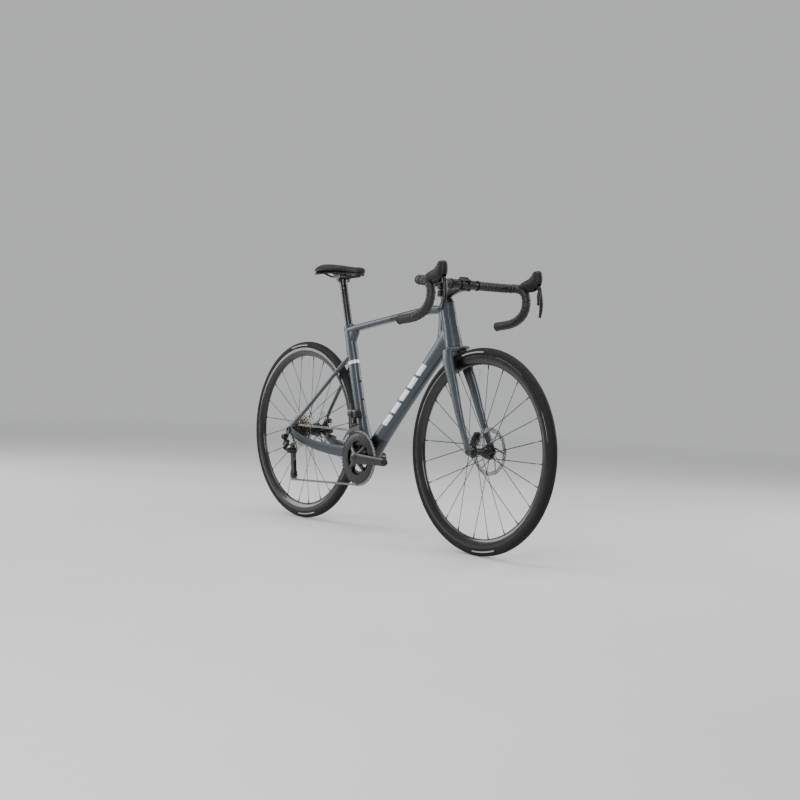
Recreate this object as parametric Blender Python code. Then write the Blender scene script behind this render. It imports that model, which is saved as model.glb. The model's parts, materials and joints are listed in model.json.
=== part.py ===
"""Endurance road bicycle with a carbon frame, disc brakes and a two-by-twelve drivetrain.

Metres, +X forward, +Y to the rider's left, +Z up. The origin is on the ground, midway
between the two axles. Every separate piece of the bicycle is one named object.
"""

import math

import bmesh
import bpy
from mathutils import Matrix, Vector

# Driving dimensions
WHEELBASE = 0.998
TYRE_RADIUS = 0.340
TYRE_WIDTH = 0.029
RIM_OUTER = 0.317
RIM_INNER = 0.284
RIM_WIDTH = 0.027
HEAD_ANGLE = math.radians(72.5)
SEAT_ANGLE = math.radians(73.0)
FORK_RAKE = 0.047
BB_X = -0.0955
BB_Z = 0.266
FRONT_HUB_WIDTH = 0.100
REAR_HUB_WIDTH = 0.142
THRU_AXLE_RADIUS = 0.006
CRANK_LENGTH = 0.1725
PEDAL_HOLE = 0.00714
PITCH = 0.0127
OUTER_RING_TEETH = 48
INNER_RING_TEETH = 35
OUTER_RING_Y = -0.0475
INNER_RING_Y = -0.0405
COG_TEETH = (10, 11, 12, 13, 14, 15, 17, 19, 21, 24, 28, 33)
SMALL_COG_Y = -0.0620
COG_SPACING = 0.00355
PULLEY_TEETH = 11
ROTOR_RADIUS = 0.080
ROTOR_THICKNESS = 0.0018
FRONT_ROTOR_Y = 0.0395
REAR_ROTOR_Y = 0.0555
BAR_HALF_WIDTH = 0.210
STEERER_RADIUS = 0.0143
STEERER_BASE_RADIUS = 0.0190
SEATPOST_RADIUS = 0.0136
BAR_CLAMP_RADIUS = 0.0159
BAR_RADIUS = 0.0119
TAPE_RADIUS = 0.0156
FREEHUB_RADIUS = 0.0118
GAP = 0.0003
RAIL_RADIUS = 0.0035
RAIL_Y = 0.0220
RAIL_Z = 0.9255
BARREL_Z = 0.9145
BARREL_RADIUS = 0.0078
SPOKES_PER_SIDE = 12
WHEEL_SEGMENTS = 28
VALVE_LENGTH = 0.050
FRONT_WHEEL_TURN = math.radians(-4.4)
REAR_WHEEL_TURN = math.radians(-1.6)

REAR_AXLE = Vector((-WHEELBASE / 2, 0, TYRE_RADIUS))
FRONT_AXLE = Vector((WHEELBASE / 2, 0, TYRE_RADIUS))
BB = Vector((BB_X, 0, BB_Z))
STEER_UP = Vector((-math.cos(HEAD_ANGLE), 0, math.sin(HEAD_ANGLE)))
STEER_AHEAD = Vector((math.sin(HEAD_ANGLE), 0, math.cos(HEAD_ANGLE)))
STEER_FOOT = FRONT_AXLE - STEER_AHEAD * FORK_RAKE
SEAT_UP = Vector((-math.cos(SEAT_ANGLE), 0, math.sin(SEAT_ANGLE)))
SEAT_AHEAD = Vector((math.sin(SEAT_ANGLE), 0, math.cos(SEAT_ANGLE)))
SEAT_TUBE_TOP = Vector((-0.248, 0, 0.740))
LEFT = Vector((0, 1, 0))
UP = Vector((0, 0, 1))
FORWARD = Vector((1, 0, 0))

CROWN_Z = 0.6755
HEAD_TOP_Z = 0.8220
STEM_LOW_Z = 0.8360
STEM_HIGH_Z = 0.8780
BAR_CENTRE = Vector((0.378, 0, 0.8870))


def pitch_radius(teeth):
    return PITCH / (2 * math.sin(math.pi / teeth))


ROLLER_DEPTH = 0.0040
ROOT_CLEARANCE = 0.0006
GUIDE_PULLEY = Vector((-0.490, SMALL_COG_Y, 0.2680))
TENSION_PULLEY = Vector((-0.474, SMALL_COG_Y, 0.1695))
PULLEY_BORE = 0.0026
CAGE_PIVOT = Vector((-0.4770, 0, 0.2610))
HANGER_BOLT = Vector((-0.507, 0, 0.3120))
HANGER_BOLT_RADIUS = 0.0042

# The derailleur's parallelogram swings its lower knuckle inwards and down
LINK_LENGTH = 0.044
LINK_LEAN = math.radians(29.4)
LINK_AHEAD = Vector((0.898, -0.186, -0.399)).normalized()
LINK_INWARD = Vector((0, 0.906, -0.423)).normalized()
LINK_AXIS = LINK_AHEAD.cross(LINK_INWARD)
LINK_RUN = (LINK_AHEAD * math.cos(LINK_LEAN) - LINK_INWARD * math.sin(LINK_LEAN)) * LINK_LENGTH
LINK_SPACING = LINK_INWARD * 0.013
OUTER_PIVOT = Vector((-0.4965, -0.0945, 0.2960))
LINK_HALF_HEIGHT = 0.0060
LINK_PIN = 0.0018

FD_HINGE = Vector((-0.1440, -0.0360, 0.4240))
FD_PIN = 0.0018


def clear_scene():
    for thing in list(bpy.data.objects):
        bpy.data.objects.remove(thing)


PAINTS = {}


def paint(name, colour, roughness, metallic=0.0):
    """A Principled material, made once for each name."""
    if name not in PAINTS:
        made = bpy.data.materials.new(name)
        made.use_nodes = True
        shader = made.node_tree.nodes["Principled BSDF"]
        shader.inputs["Base Color"].default_value = (*colour, 1)
        shader.inputs["Roughness"].default_value = roughness
        shader.inputs["Metallic"].default_value = metallic
        made.diffuse_color = (*colour, 1)
        PAINTS[name] = made
    return PAINTS[name]


def frame_paint():
    return paint("frame_paint", (0.115, 0.155, 0.185), 0.32)


def black_paint():
    return paint("black_anodised", (0.012, 0.012, 0.013), 0.35, 0.6)


def black_plastic():
    return paint("black_plastic", (0.014, 0.014, 0.015), 0.5)


def rubber():
    return paint("rubber", (0.016, 0.016, 0.017), 0.75)


def carbon():
    return paint("carbon_gloss", (0.010, 0.010, 0.011), 0.18)


def steel():
    return paint("steel", (0.62, 0.62, 0.63), 0.28, 1.0)


def nickel():
    return paint("nickel", (0.52, 0.48, 0.42), 0.30, 1.0)


def grey_metal():
    return paint("grey_metal", (0.10, 0.10, 0.105), 0.35, 0.8)


def steer(z, ahead=0.0, y=0.0):
    """The point of the steering axis at height z, moved ahead of the axis and sideways."""
    along = (z - STEER_FOOT.z) / STEER_UP.z
    return STEER_FOOT + STEER_UP * along + STEER_AHEAD * ahead + LEFT * y


def seat(z, ahead=0.0, y=0.0):
    """The point of the seat tube's axis at height z, moved ahead of the axis and sideways."""
    along = (z - SEAT_TUBE_TOP.z) / SEAT_UP.z
    return SEAT_TUBE_TOP + SEAT_UP * along + SEAT_AHEAD * ahead + LEFT * y


# Building blocks: each returns a closed bmesh


def faces_out(bm):
    bmesh.ops.recalc_face_normals(bm, faces=bm.faces)
    if bm.calc_volume(signed=True) < 0:
        bmesh.ops.reverse_faces(bm, faces=bm.faces)
    return bm


def skin(rings, joined_ends=False):
    """Quads between successive rings of points, and flat caps unless the ends are joined."""
    bm = bmesh.new()
    rows = [[bm.verts.new(p) for p in ring] for ring in rings]
    pairs = list(zip(rows, rows[1:]))
    if joined_ends:
        pairs.append((rows[-1], rows[0]))
    else:
        bm.faces.new(list(reversed(rows[0])))
        bm.faces.new(rows[-1])
    for low, high in pairs:
        count = len(low)
        for i in range(count):
            j = (i + 1) % count
            bm.faces.new((low[i], low[j], high[j], high[i]))
    return faces_out(bm)


def oval(half_a, half_b, sides, power=2.0):
    """A superellipse's points in its own plane; power 2 is an ellipse, more is boxier."""
    found = []
    for i in range(sides):
        turn = 2 * math.pi * (i + 0.5) / sides
        c, s = math.cos(turn), math.sin(turn)
        a = math.copysign(abs(c) ** (2 / power), c) * half_a
        b = math.copysign(abs(s) ** (2 / power), s) * half_b
        found.append((a, b))
    return found


def loft(stations, sides=14, power=2.3, side=LEFT, end_directions=(None, None)):
    """A tube through stations (centre, half_depth, half_width), each square to the path.

    The half width runs along side and the half depth square to both side and the path.
    """
    centres = [Vector(s[0]) for s in stations]
    rings = []
    for i, (centre, half_depth, half_width) in enumerate(stations):
        along = centres[min(i + 1, len(centres) - 1)] - centres[max(i - 1, 0)]
        if i == 0 and end_directions[0] is not None:
            along = Vector(end_directions[0])
        if i == len(stations) - 1 and end_directions[1] is not None:
            along = Vector(end_directions[1])
        along.normalize()
        across = (side - along * side.dot(along)).normalized()
        deep = across.cross(along)
        ring = [
            Vector(centre) + deep * a + across * b
            for a, b in oval(half_depth, half_width, sides, power)
        ]
        rings.append(ring)
    return skin(rings)


def tube_rings(path, radii, sides, side=UP):
    """Rings round a path, one radius for each point, carried along without twisting."""
    rings = []
    across = side
    for i, centre in enumerate(path):
        along = (path[min(i + 1, len(path) - 1)] - path[max(i - 1, 0)]).normalized()
        across = (across - along * across.dot(along)).normalized()
        over = along.cross(across)
        ring = []
        for k in range(sides):
            turn = 2 * math.pi * k / sides
            ring.append(centre + (across * math.cos(turn) + over * math.sin(turn)) * radii[i])
        rings.append(ring)
    return rings


def pipe(path, radius, sides=12):
    path = [Vector(p) for p in path]
    radii = radius if isinstance(radius, list) else [radius] * len(path)
    return skin(tube_rings(path, radii, sides))


def sleeve(path, inner, outer, sides=12):
    """A pipe with a bore: the outer rings out along the path and the inner rings back."""
    outside = tube_rings(path, outer, sides)
    inside = tube_rings(path, inner, sides)
    return skin(outside + inside[::-1], joined_ends=True)


def turned(outline, centre=(0, 0, 0), axis=LEFT, segments=32):
    """An outline of (radius, distance along the axis) points, turned about the axis.

    An outline that starts and ends at radius 0 is a solid; any other closes on itself.
    """
    centre = Vector(centre)
    axis = Vector(axis).normalized()
    start = UP if abs(axis.z) < 0.9 else FORWARD
    across = (start - axis * start.dot(axis)).normalized()
    over = axis.cross(across)
    bm = bmesh.new()
    rows = []
    for radius, along in outline:
        middle = centre + axis * along
        if radius < 1e-9:
            rows.append([bm.verts.new(middle)])
            continue
        row = []
        for i in range(segments):
            turn = 2 * math.pi * i / segments
            spoke = across * math.cos(turn) + over * math.sin(turn)
            row.append(bm.verts.new(middle + spoke * radius))
        rows.append(row)
    pairs = list(zip(rows, rows[1:]))
    if len(rows[0]) > 1:
        pairs.append((rows[-1], rows[0]))
    for low, high in pairs:
        for i in range(segments):
            j = (i + 1) % segments
            corners = [low[i % len(low)], low[j % len(low)], high[j % len(high)], high[i % len(high)]]
            corners = list(dict.fromkeys(corners))
            bm.faces.new(corners)
    return faces_out(bm)


def disc(centre, radius, low, high, segments=24, axis=LEFT):
    """A plain cylinder from low to high along the axis."""
    outline = [(0, low), (radius, low), (radius, high), (0, high)]
    return turned(outline, centre, axis, segments)


def ring(centre, inner, outer, low, high, segments=24, axis=LEFT):
    outline = [(inner, low), (outer, low), (outer, high), (inner, high)]
    return turned(outline, centre, axis, segments)


def bar(start, end, half_width, half_height, side=UP):
    """A straight rectangular bar between two points."""
    start, end = Vector(start), Vector(end)
    along = (end - start).normalized()
    across = (side - along * side.dot(along)).normalized()
    over = along.cross(across)
    corners = [(1, 1), (-1, 1), (-1, -1), (1, -1)]
    rings = []
    for end_point in (start, end):
        rings.append([end_point + across * half_height * a + over * half_width * b for a, b in corners])
    return skin(rings)


def plate(outline, low, high):
    """An outline of (x, z) points, extruded across the bicycle from y low to y high."""
    rings = [[Vector((x, y, z)) for x, z in outline] for y in (low, high)]
    return skin(rings)


def capsule_outline(start, end, start_radius, end_radius, steps=5):
    """The (x, z) outline round two circles, for links and arms."""
    (x0, z0), (x1, z1) = start, end
    heading = math.atan2(z1 - z0, x1 - x0)
    spread = math.acos((start_radius - end_radius) / math.hypot(x1 - x0, z1 - z0))
    found = []
    for k in range(steps + 1):
        turn = heading + spread + (2 * math.pi - 2 * spread) * k / steps
        found.append((x0 + start_radius * math.cos(turn), z0 + start_radius * math.sin(turn)))
    for k in range(steps + 1):
        turn = heading - spread + 2 * spread * k / steps
        found.append((x1 + end_radius * math.cos(turn), z1 + end_radius * math.sin(turn)))
    return found


def helper(bm):
    mesh = bpy.data.meshes.new("helper")
    bm.to_mesh(mesh)
    bm.free()
    thing = bpy.data.objects.new("helper", mesh)
    thing.hide_render = True
    thing.display_type = "WIRE"
    bpy.context.scene.collection.objects.link(thing)
    return thing


def joined(shapes, cutters=()):
    """One bmesh: the union of the shapes less the cutters, by exact Booleans one at a time."""
    result = shapes[0]
    steps = [(s, "UNION") for s in shapes[1:]] + [(c, "DIFFERENCE") for c in cutters]
    for shape, operation in steps:
        base, other = helper(result), helper(shape)
        step = base.modifiers.new(operation.title(), "BOOLEAN")
        step.solver = "EXACT"
        step.operation = operation
        step.object = other
        bpy.context.view_layer.update()
        graph = bpy.context.evaluated_depsgraph_get()
        result = bmesh.new()
        result.from_mesh(base.evaluated_get(graph).to_mesh())
        for thing in (base, other):
            mesh = thing.data
            bpy.data.objects.remove(thing)
            bpy.data.meshes.remove(mesh)
        bmesh.ops.dissolve_degenerate(result, dist=1e-6, edges=result.edges)
    return result


def place(name, bm, look, origin=(0, 0, 0)):
    """The finished piece, with its origin at the given point of its joint's axis."""
    origin = Vector(origin)
    bmesh.ops.translate(bm, verts=bm.verts, vec=-origin)
    mesh = bpy.data.meshes.new(name)
    bm.to_mesh(mesh)
    bm.free()
    mesh.materials.append(look)
    mesh.shade_smooth()
    mesh.set_sharp_from_angle(angle=math.radians(35))
    piece = bpy.data.objects.new(name, mesh)
    piece.location = origin
    bpy.context.scene.collection.objects.link(piece)
    return piece


# Frame


def wheel_room(axle, radius, half_width):
    """The space a turning wheel needs, for cutting the stays, the seat tube and the fork."""
    outline = [
        (0, -half_width),
        (radius - 0.010, -half_width),
        (radius, -half_width + 0.009),
        (radius, half_width - 0.009),
        (radius - 0.010, half_width),
        (0, half_width),
    ]
    return turned(outline, axle, LEFT, 36)


def head_tube():
    stations = [
        (steer(CROWN_Z + 0.0015), 0.0310, 0.0285),
        (steer(CROWN_Z + 0.030), 0.0300, 0.0260),
        (steer(CROWN_Z + 0.075), 0.0275, 0.0232),
        (steer(HEAD_TOP_Z - 0.020), 0.0262, 0.0226),
        (steer(HEAD_TOP_Z), 0.0262, 0.0226),
    ]
    return loft(stations, 12, 2.0, end_directions=(STEER_UP, STEER_UP))


def down_tube():
    stations = [
        (BB + Vector((0.010, 0, 0.006)), 0.0300, 0.0340),
        ((-0.036, 0, 0.3310), 0.0285, 0.0290),
        ((0.060, 0, 0.4360), 0.0262, 0.0235),
        ((0.180, 0, 0.5670), 0.0265, 0.0220),
        ((0.262, 0, 0.6560), 0.0285, 0.0210),
        ((0.318, 0, 0.7180), 0.0330, 0.0205),
    ]
    return loft(stations, 10, 2.5)


def top_tube():
    stations = [
        (seat(0.7270, -0.010), 0.0110, 0.0170),
        ((-0.190, 0, 0.7375), 0.0120, 0.0178),
        ((-0.080, 0, 0.7565), 0.0115, 0.0185),
        ((0.060, 0, 0.7800), 0.0118, 0.0190),
        ((0.190, 0, 0.7995), 0.0140, 0.0195),
        ((0.278, 0, 0.8060), 0.0150, 0.0200),
    ]
    return loft(stations, 10, 2.4)


def seat_tube():
    stations = [
        (seat(0.262, 0.006), 0.0260, 0.0330),
        (seat(0.330, 0.004), 0.0240, 0.0250),
        (seat(0.420, 0.000), 0.0225, 0.0185),
        (seat(0.540, -0.003), 0.0235, 0.0172),
        (seat(0.620, -0.002), 0.0240, 0.0170),
        (seat(0.700, 0.000), 0.0215, 0.0172),
        (seat(0.742, 0.001), 0.0245, 0.0172),
    ]
    return loft(stations, 10, 2.4, end_directions=(None, SEAT_UP))


def seat_cluster():
    """The web that runs from the seat tube forward into the underside of the top tube."""
    stations = [
        ((-0.236, 0, 0.640), 0.0100, 0.0140),
        ((-0.225, 0, 0.690), 0.0160, 0.0145),
        ((-0.214, 0, 0.727), 0.0240, 0.0150),
    ]
    return loft(stations, 8, 2.4)


def head_web():
    """The web behind the head tube that joins the down tube to the top tube."""
    stations = [
        ((0.2920, 0, 0.7000), 0.0300, 0.0165),
        ((0.2900, 0, 0.7450), 0.0250, 0.0160),
        ((0.2880, 0, 0.7950), 0.0230, 0.0165),
    ]
    return loft(stations, 8, 2.4)


def chainstay(s):
    stations = [
        ((BB_X - 0.004, s * 0.0240, 0.2690), 0.0200, 0.0120),
        ((-0.150, s * 0.0290, 0.2770), 0.0215, 0.0085),
        ((-0.200, s * 0.0320, 0.2800), 0.0210, 0.0072),
        ((-0.280, s * 0.0410, 0.2830), 0.0190, 0.0080),
        ((-0.360, s * 0.0530, 0.2920), 0.0165, 0.0080),
        ((-0.420, s * 0.0640, 0.3060), 0.0150, 0.0060),
        ((-0.465, s * 0.0735, 0.3240), 0.0140, 0.0040),
        ((-0.496, s * 0.0752, 0.3390), 0.0150, 0.0036),
    ]
    return loft(stations, 8, 2.8)


def seatstay(s):
    stations = [
        ((-0.216, s * 0.0060, 0.6360), 0.0110, 0.0085),
        ((-0.240, s * 0.0150, 0.6110), 0.0095, 0.0075),
        ((-0.275, s * 0.0265, 0.5740), 0.0085, 0.0055),
        ((-0.350, s * 0.0410, 0.4970), 0.0078, 0.0052),
        ((-0.430, s * 0.0590, 0.4130), 0.0078, 0.0050),
        ((-0.482, s * 0.0745, 0.3600), 0.0100, 0.0038),
        ((-0.500, s * 0.0752, 0.3420), 0.0140, 0.0036),
    ]
    return loft(stations, 8, 2.3)


def brake_pad_seat():
    """The flat platform on the left chainstay that the rear caliper bolts to."""
    return bar((-0.452, 0.0645, 0.3235), (-0.388, 0.0636, 0.3145), 0.0056, 0.0070)


HEAD_BORE = STEERER_BASE_RADIUS + 0.0008
LOWER_BEARING = 0.0262
UPPER_BEARING = 0.0209
POST_BORE = SEATPOST_RADIUS + GAP
POST_DEPTH_Z = 0.500
POST_FOOT_Z = 0.560
BB_HALF = 0.0420
BB_BORE = 0.0205


def fork_sweep_room():
    """The round recess in the underside of the down tube that the turning crown needs."""
    foot = steer(0.560)
    top = (CROWN_Z + 0.0005 - 0.560) / STEER_UP.z
    return turned([(0, 0), (0.050, 0), (0.050, top), (0, top)], foot, STEER_UP, 20)


def frame_cutters():
    head_low = steer(CROWN_Z)
    length = (HEAD_TOP_Z - CROWN_Z) / STEER_UP.z
    seat_foot = seat(POST_DEPTH_Z)
    cutters = [
        wheel_room(REAR_AXLE, TYRE_RADIUS + 0.006, 0.0195),
        fork_sweep_room(),
        disc(head_low, HEAD_BORE, -0.010, length + 0.010, 16, STEER_UP),
        disc(head_low, LOWER_BEARING, -0.010, 0.0100, 16, STEER_UP),
        disc(head_low, UPPER_BEARING, length - 0.0080, length + 0.010, 16, STEER_UP),
        disc(head_low, 0.0340, length + 0.0001, length + 0.030, 16, STEER_UP),
        disc(seat_foot, POST_BORE, 0, 0.30, 16, SEAT_UP),
        disc(BB, BB_BORE, -0.060, 0.060, 16),
        disc(REAR_AXLE, THRU_AXLE_RADIUS + GAP, -0.09, 0.09, 12),
    ]
    for s in (1, -1):
        low, high = sorted((s * BB_HALF, s * (BB_HALF + 0.03)))
        cutters.append(disc(BB, 0.060, low, high, 16))
        low, high = sorted((s * 0.0300, s * (REAR_HUB_WIDTH / 2 + 0.0006)))
        cutters.append(disc(REAR_AXLE, 0.0165, low, high, 16))
    return cutters


def frame():
    shapes = [head_tube(), down_tube(), top_tube(), seat_tube(), seat_cluster(), head_web()]
    shapes.append(disc(BB, 0.0245, -BB_HALF, BB_HALF, 16))
    for s in (1, -1):
        shapes.append(chainstay(s))
        shapes.append(seatstay(s))
        low, high = sorted((s * (REAR_HUB_WIDTH / 2 + 0.0008), s * 0.0790))
        shapes.append(disc(REAR_AXLE, 0.0155, low, high, 16))
    shapes.append(brake_pad_seat())
    place("frame", joined(shapes, frame_cutters()), frame_paint())


def bottom_bracket():
    for s, name in ((-1, "bb_cup_right"), (1, "bb_cup_left")):
        outline = [
            (0.0124, s * 0.0290),
            (BB_BORE - GAP, s * 0.0290),
            (BB_BORE - GAP, s * (BB_HALF + GAP)),
            (0.0240, s * (BB_HALF + GAP)),
            (0.0240, s * (BB_HALF + 0.0020)),
            (0.0124, s * (BB_HALF + 0.0020)),
        ]
        place(name, turned(outline, BB, LEFT, 16), black_plastic())


def headset():
    low = steer(CROWN_Z)
    length = (HEAD_TOP_Z - CROWN_Z) / STEER_UP.z
    lower = ring(low, STEERER_BASE_RADIUS + 0.0007, LOWER_BEARING - GAP, 0.0012, 0.0094, 16, STEER_UP)
    place("headset_bearing_lower", lower, steel())
    upper = ring(
        low, STEERER_RADIUS + GAP, UPPER_BEARING - GAP, length - 0.0074, length - 0.0004, 16, STEER_UP
    )
    place("headset_bearing_upper", upper, steel())
    top = steer(HEAD_TOP_Z + 0.0004)
    outline = [
        (STEERER_RADIUS + GAP, 0),
        (0.0245, 0),
        (0.0245, 0.0030),
        (0.0205, 0.0135),
        (STEERER_RADIUS + GAP, 0.0135),
    ]
    place("headset_cover", turned(outline, top, STEER_UP, 16), black_plastic(), top)


# Fork, stem and handlebar


def fork_leg(s):
    """A blade; the left one stands further out to clear the rotor and its caliper."""
    out = 0.0085 if s > 0 else 0.0
    stations = [
        (steer(0.6660, -0.001, s * 0.0240), 0.0265, 0.0180),
        (steer(0.6350, 0.000, s * (0.0345 + out * 0.3)), 0.0235, 0.0120),
        ((0.3960, s * (0.0400 + out), 0.5500), 0.0200, 0.0095),
        ((0.4300, s * (0.0440 + out), 0.4700), 0.0165, 0.0080),
        ((0.4660, s * (0.0490 + out * 0.6), 0.3980), 0.0135, 0.0062),
        ((0.4930, s * 0.0548, 0.3520), 0.0120, 0.0045),
        ((0.4990, s * 0.0548, 0.3400), 0.0120, 0.0042),
    ]
    return loft(stations, 8, 2.4)


def fork_visor():
    """The crown's front edge, which reaches forward over the tyre."""
    stations = []
    for degrees, half_depth, half_width in ((118, 0.0090, 0.0300), (111, 0.0075, 0.0240), (106, 0.0045, 0.0190)):
        turn = math.radians(degrees)
        reach = TYRE_RADIUS + 0.0125
        centre = FRONT_AXLE + Vector((reach * math.cos(turn), 0, reach * math.sin(turn)))
        stations.append((centre, half_depth, half_width))
    return loft(stations, 8, 2.4)


def fork():
    crown_low = steer(0.6400)
    top = (CROWN_Z - 0.6400) / STEER_UP.z
    crown = loft(
        [
            (crown_low, 0.0240, 0.0400),
            (crown_low + STEER_UP * (top * 0.5), 0.0290, 0.0360),
            (crown_low + STEER_UP * top, 0.0308, 0.0283),
        ],
        12,
        2.0,
        end_directions=(STEER_UP, STEER_UP),
    )
    base = steer(CROWN_Z - 0.010)
    rise = (STEM_HIGH_Z - 0.003 - (CROWN_Z - 0.010)) / STEER_UP.z
    steerer = turned(
        [
            (0, 0),
            (STEERER_BASE_RADIUS, 0),
            (STEERER_BASE_RADIUS, 0.0240),
            (STEERER_RADIUS, 0.0420),
            (STEERER_RADIUS, rise),
            (0, rise),
        ],
        base,
        STEER_UP,
        16,
    )
    shapes = [crown, steerer, fork_visor(), fork_leg(1), fork_leg(-1)]
    for s in (1, -1):
        low, high = sorted((s * (FRONT_HUB_WIDTH / 2 + 0.0006), s * 0.0590))
        shapes.append(disc(FRONT_AXLE, 0.0125, low, high, 16))
    cutters = [
        wheel_room(FRONT_AXLE, TYRE_RADIUS + 0.006, 0.0200),
        disc(FRONT_AXLE, THRU_AXLE_RADIUS + GAP, -0.09, 0.09, 12),
        disc(FRONT_AXLE, 0.0135, -(FRONT_HUB_WIDTH / 2 + 0.0004), FRONT_HUB_WIDTH / 2 + 0.0004, 16),
    ]
    place("fork", joined(shapes, cutters), frame_paint(), steer(CROWN_Z))


STEM_AHEAD = (BAR_CENTRE - steer((STEM_LOW_Z + STEM_HIGH_Z) / 2)).normalized()
STEM_RISE = LEFT.cross(STEM_AHEAD) * -1
STEERER_CLAMP = steer((STEM_LOW_Z + STEM_HIGH_Z) / 2)


def stem():
    high = (STEM_HIGH_Z - STEM_LOW_Z) / STEER_UP.z / 2
    clamp = disc(STEERER_CLAMP, 0.0190, -high, high, 20, STEER_UP)
    body = loft(
        [
            (STEERER_CLAMP + STEM_AHEAD * 0.004, 0.0180, 0.0165),
            (STEERER_CLAMP.lerp(BAR_CENTRE, 0.5), 0.0160, 0.0150),
            (BAR_CENTRE - STEM_AHEAD * 0.012, 0.0190, 0.0200),
        ],
        12,
        2.6,
    )
    holder = disc(BAR_CENTRE, 0.0205, -0.0210, 0.0210, 20)
    front = bar(
        BAR_CENTRE + STEM_AHEAD * 0.0006, BAR_CENTRE + STEM_AHEAD * 0.040, 0.030, 0.040
    )
    cutters = [
        front,
        disc(BAR_CENTRE, BAR_CLAMP_RADIUS + 0.0010, -0.05, 0.05, 20),
        disc(STEERER_CLAMP, STEERER_RADIUS + GAP, -0.05, 0.05, 20, STEER_UP),
    ]
    place("stem", joined([clamp, body, holder], cutters), black_paint(), STEERER_CLAMP)
    cap = steer(STEM_HIGH_Z + GAP)
    outline = [(0, 0), (0.0175, 0), (0.0165, 0.0028), (0.0060, 0.0040), (0, 0.0040)]
    place("stem_top_cap", turned(outline, cap, STEER_UP, 20), black_paint(), cap)


def stem_faceplate():
    shell = disc(BAR_CENTRE, 0.0203, -0.0205, 0.0205, 20)
    ears = [
        bar(
            BAR_CENTRE + STEM_RISE * (0.0195 * s) + STEM_AHEAD * 0.001,
            BAR_CENTRE + STEM_RISE * (0.0195 * s) + STEM_AHEAD * 0.0080,
            0.0180,
            0.0045,
            STEM_RISE,
        )
        for s in (1, -1)
    ]
    back = bar(
        BAR_CENTRE - STEM_AHEAD * 0.040, BAR_CENTRE + STEM_AHEAD * 0.0006, 0.030, 0.040
    )
    cutters = [back, disc(BAR_CENTRE, BAR_CLAMP_RADIUS + 0.0010, -0.05, 0.05, 20)]
    place("stem_faceplate", joined([shell] + ears, cutters), black_paint(), BAR_CENTRE)


def bar_route(s):
    """The handlebar's middle line on one side, from the centre out and round the drop."""
    x, z = BAR_CENTRE.x, BAR_CENTRE.z
    w = BAR_HALF_WIDTH
    points = [
        (x, 0.0300, z),
        (x, 0.0560, z),
        (x, 0.1000, z),
        (x, 0.1680, z + 0.0005),
        (x + 0.0020, w - 0.0200, z + 0.0008),
        (x + 0.0120, w - 0.0040, z + 0.0010),
        (x + 0.0320, w + 0.0010, z + 0.0008),
        (x + 0.0620, w + 0.0010, z - 0.0070),
        (x + 0.0760, w + 0.0010, z - 0.0210),
        (x + 0.0820, w + 0.0020, z - 0.0420),
        (x + 0.0790, w + 0.0030, z - 0.0660),
        (x + 0.0660, w + 0.0040, z - 0.0890),
        (x + 0.0400, w + 0.0050, z - 0.1080),
        (x + 0.0060, w + 0.0062, z - 0.1200),
        (x - 0.0600, w + 0.0080, z - 0.1290),
    ]
    return [Vector((px, s * py, pz)) for px, py, pz in points]


def bar_radius(y):
    """The tube's radius at distance y from the middle: full at the clamp, then tapered."""
    t = min(max((abs(y) - 0.035) / 0.050, 0), 1)
    return BAR_CLAMP_RADIUS + (BAR_RADIUS - BAR_CLAMP_RADIUS) * t


TAPE_START = 1


def handlebar():
    halves = []
    for s in (-1, 1):
        route = bar_route(s)
        halves.append(tube_rings(route, [bar_radius(p.y) for p in route], 8))
    right, left = halves
    rings = [r[:1] + r[:0:-1] for r in right[::-1]] + left
    place("handlebar", skin(rings), black_paint(), BAR_CENTRE)
    for s, name in ((1, "left"), (-1, "right")):
        route = bar_route(s)[TAPE_START:]
        inner = [bar_radius(p.y) + GAP + 0.0001 for p in route]
        outer = [max(TAPE_RADIUS, r + 0.0018) for r in inner]
        place("bar_tape_" + name, sleeve(route, inner, outer, 8), rubber(), BAR_CENTRE)
        end = route[-1]
        along = (end - route[-2]).normalized()
        outline = [(0, GAP), (TAPE_RADIUS + 0.0004, GAP), (0.0120, 0.0040), (0, 0.0050)]
        place("bar_plug_" + name, turned(outline, end, along, 12), black_plastic(), end)


def hood(s):
    """The lever body: a rubber-covered grip that rises to a rounded horn in front."""
    y = s * (BAR_HALF_WIDTH + 0.0010)
    stations = [
        ((0.4290, y, 0.8890), 0.0090, 0.0125),
        ((0.4460, y, 0.8930), 0.0155, 0.0152),
        ((0.4660, y, 0.8985), 0.0180, 0.0160),
        ((0.4860, y, 0.9035), 0.0215, 0.0162),
        ((0.4990, y, 0.9110), 0.0260, 0.0160),
        ((0.5050, y, 0.9220), 0.0215, 0.0155),
        ((0.5050, y, 0.9360), 0.0180, 0.0140),
        ((0.5035, y, 0.9440), 0.0115, 0.0095),
    ]
    grip = loft(stations, 8, 2.3)
    chin = loft(
        [
            ((0.4700, y, 0.8860), 0.0120, 0.0110),
            ((0.4920, y, 0.8890), 0.0120, 0.0110),
            ((0.5090, y, 0.8980), 0.0095, 0.0100),
        ],
        6,
        2.4,
    )
    return [grip, chin]


LEVER_PIVOT_X = 0.5030
LEVER_PIVOT_Z = 0.8930


def lever_pivot(s):
    return Vector((LEVER_PIVOT_X, s * (BAR_HALF_WIDTH + 0.001), LEVER_PIVOT_Z))


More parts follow.
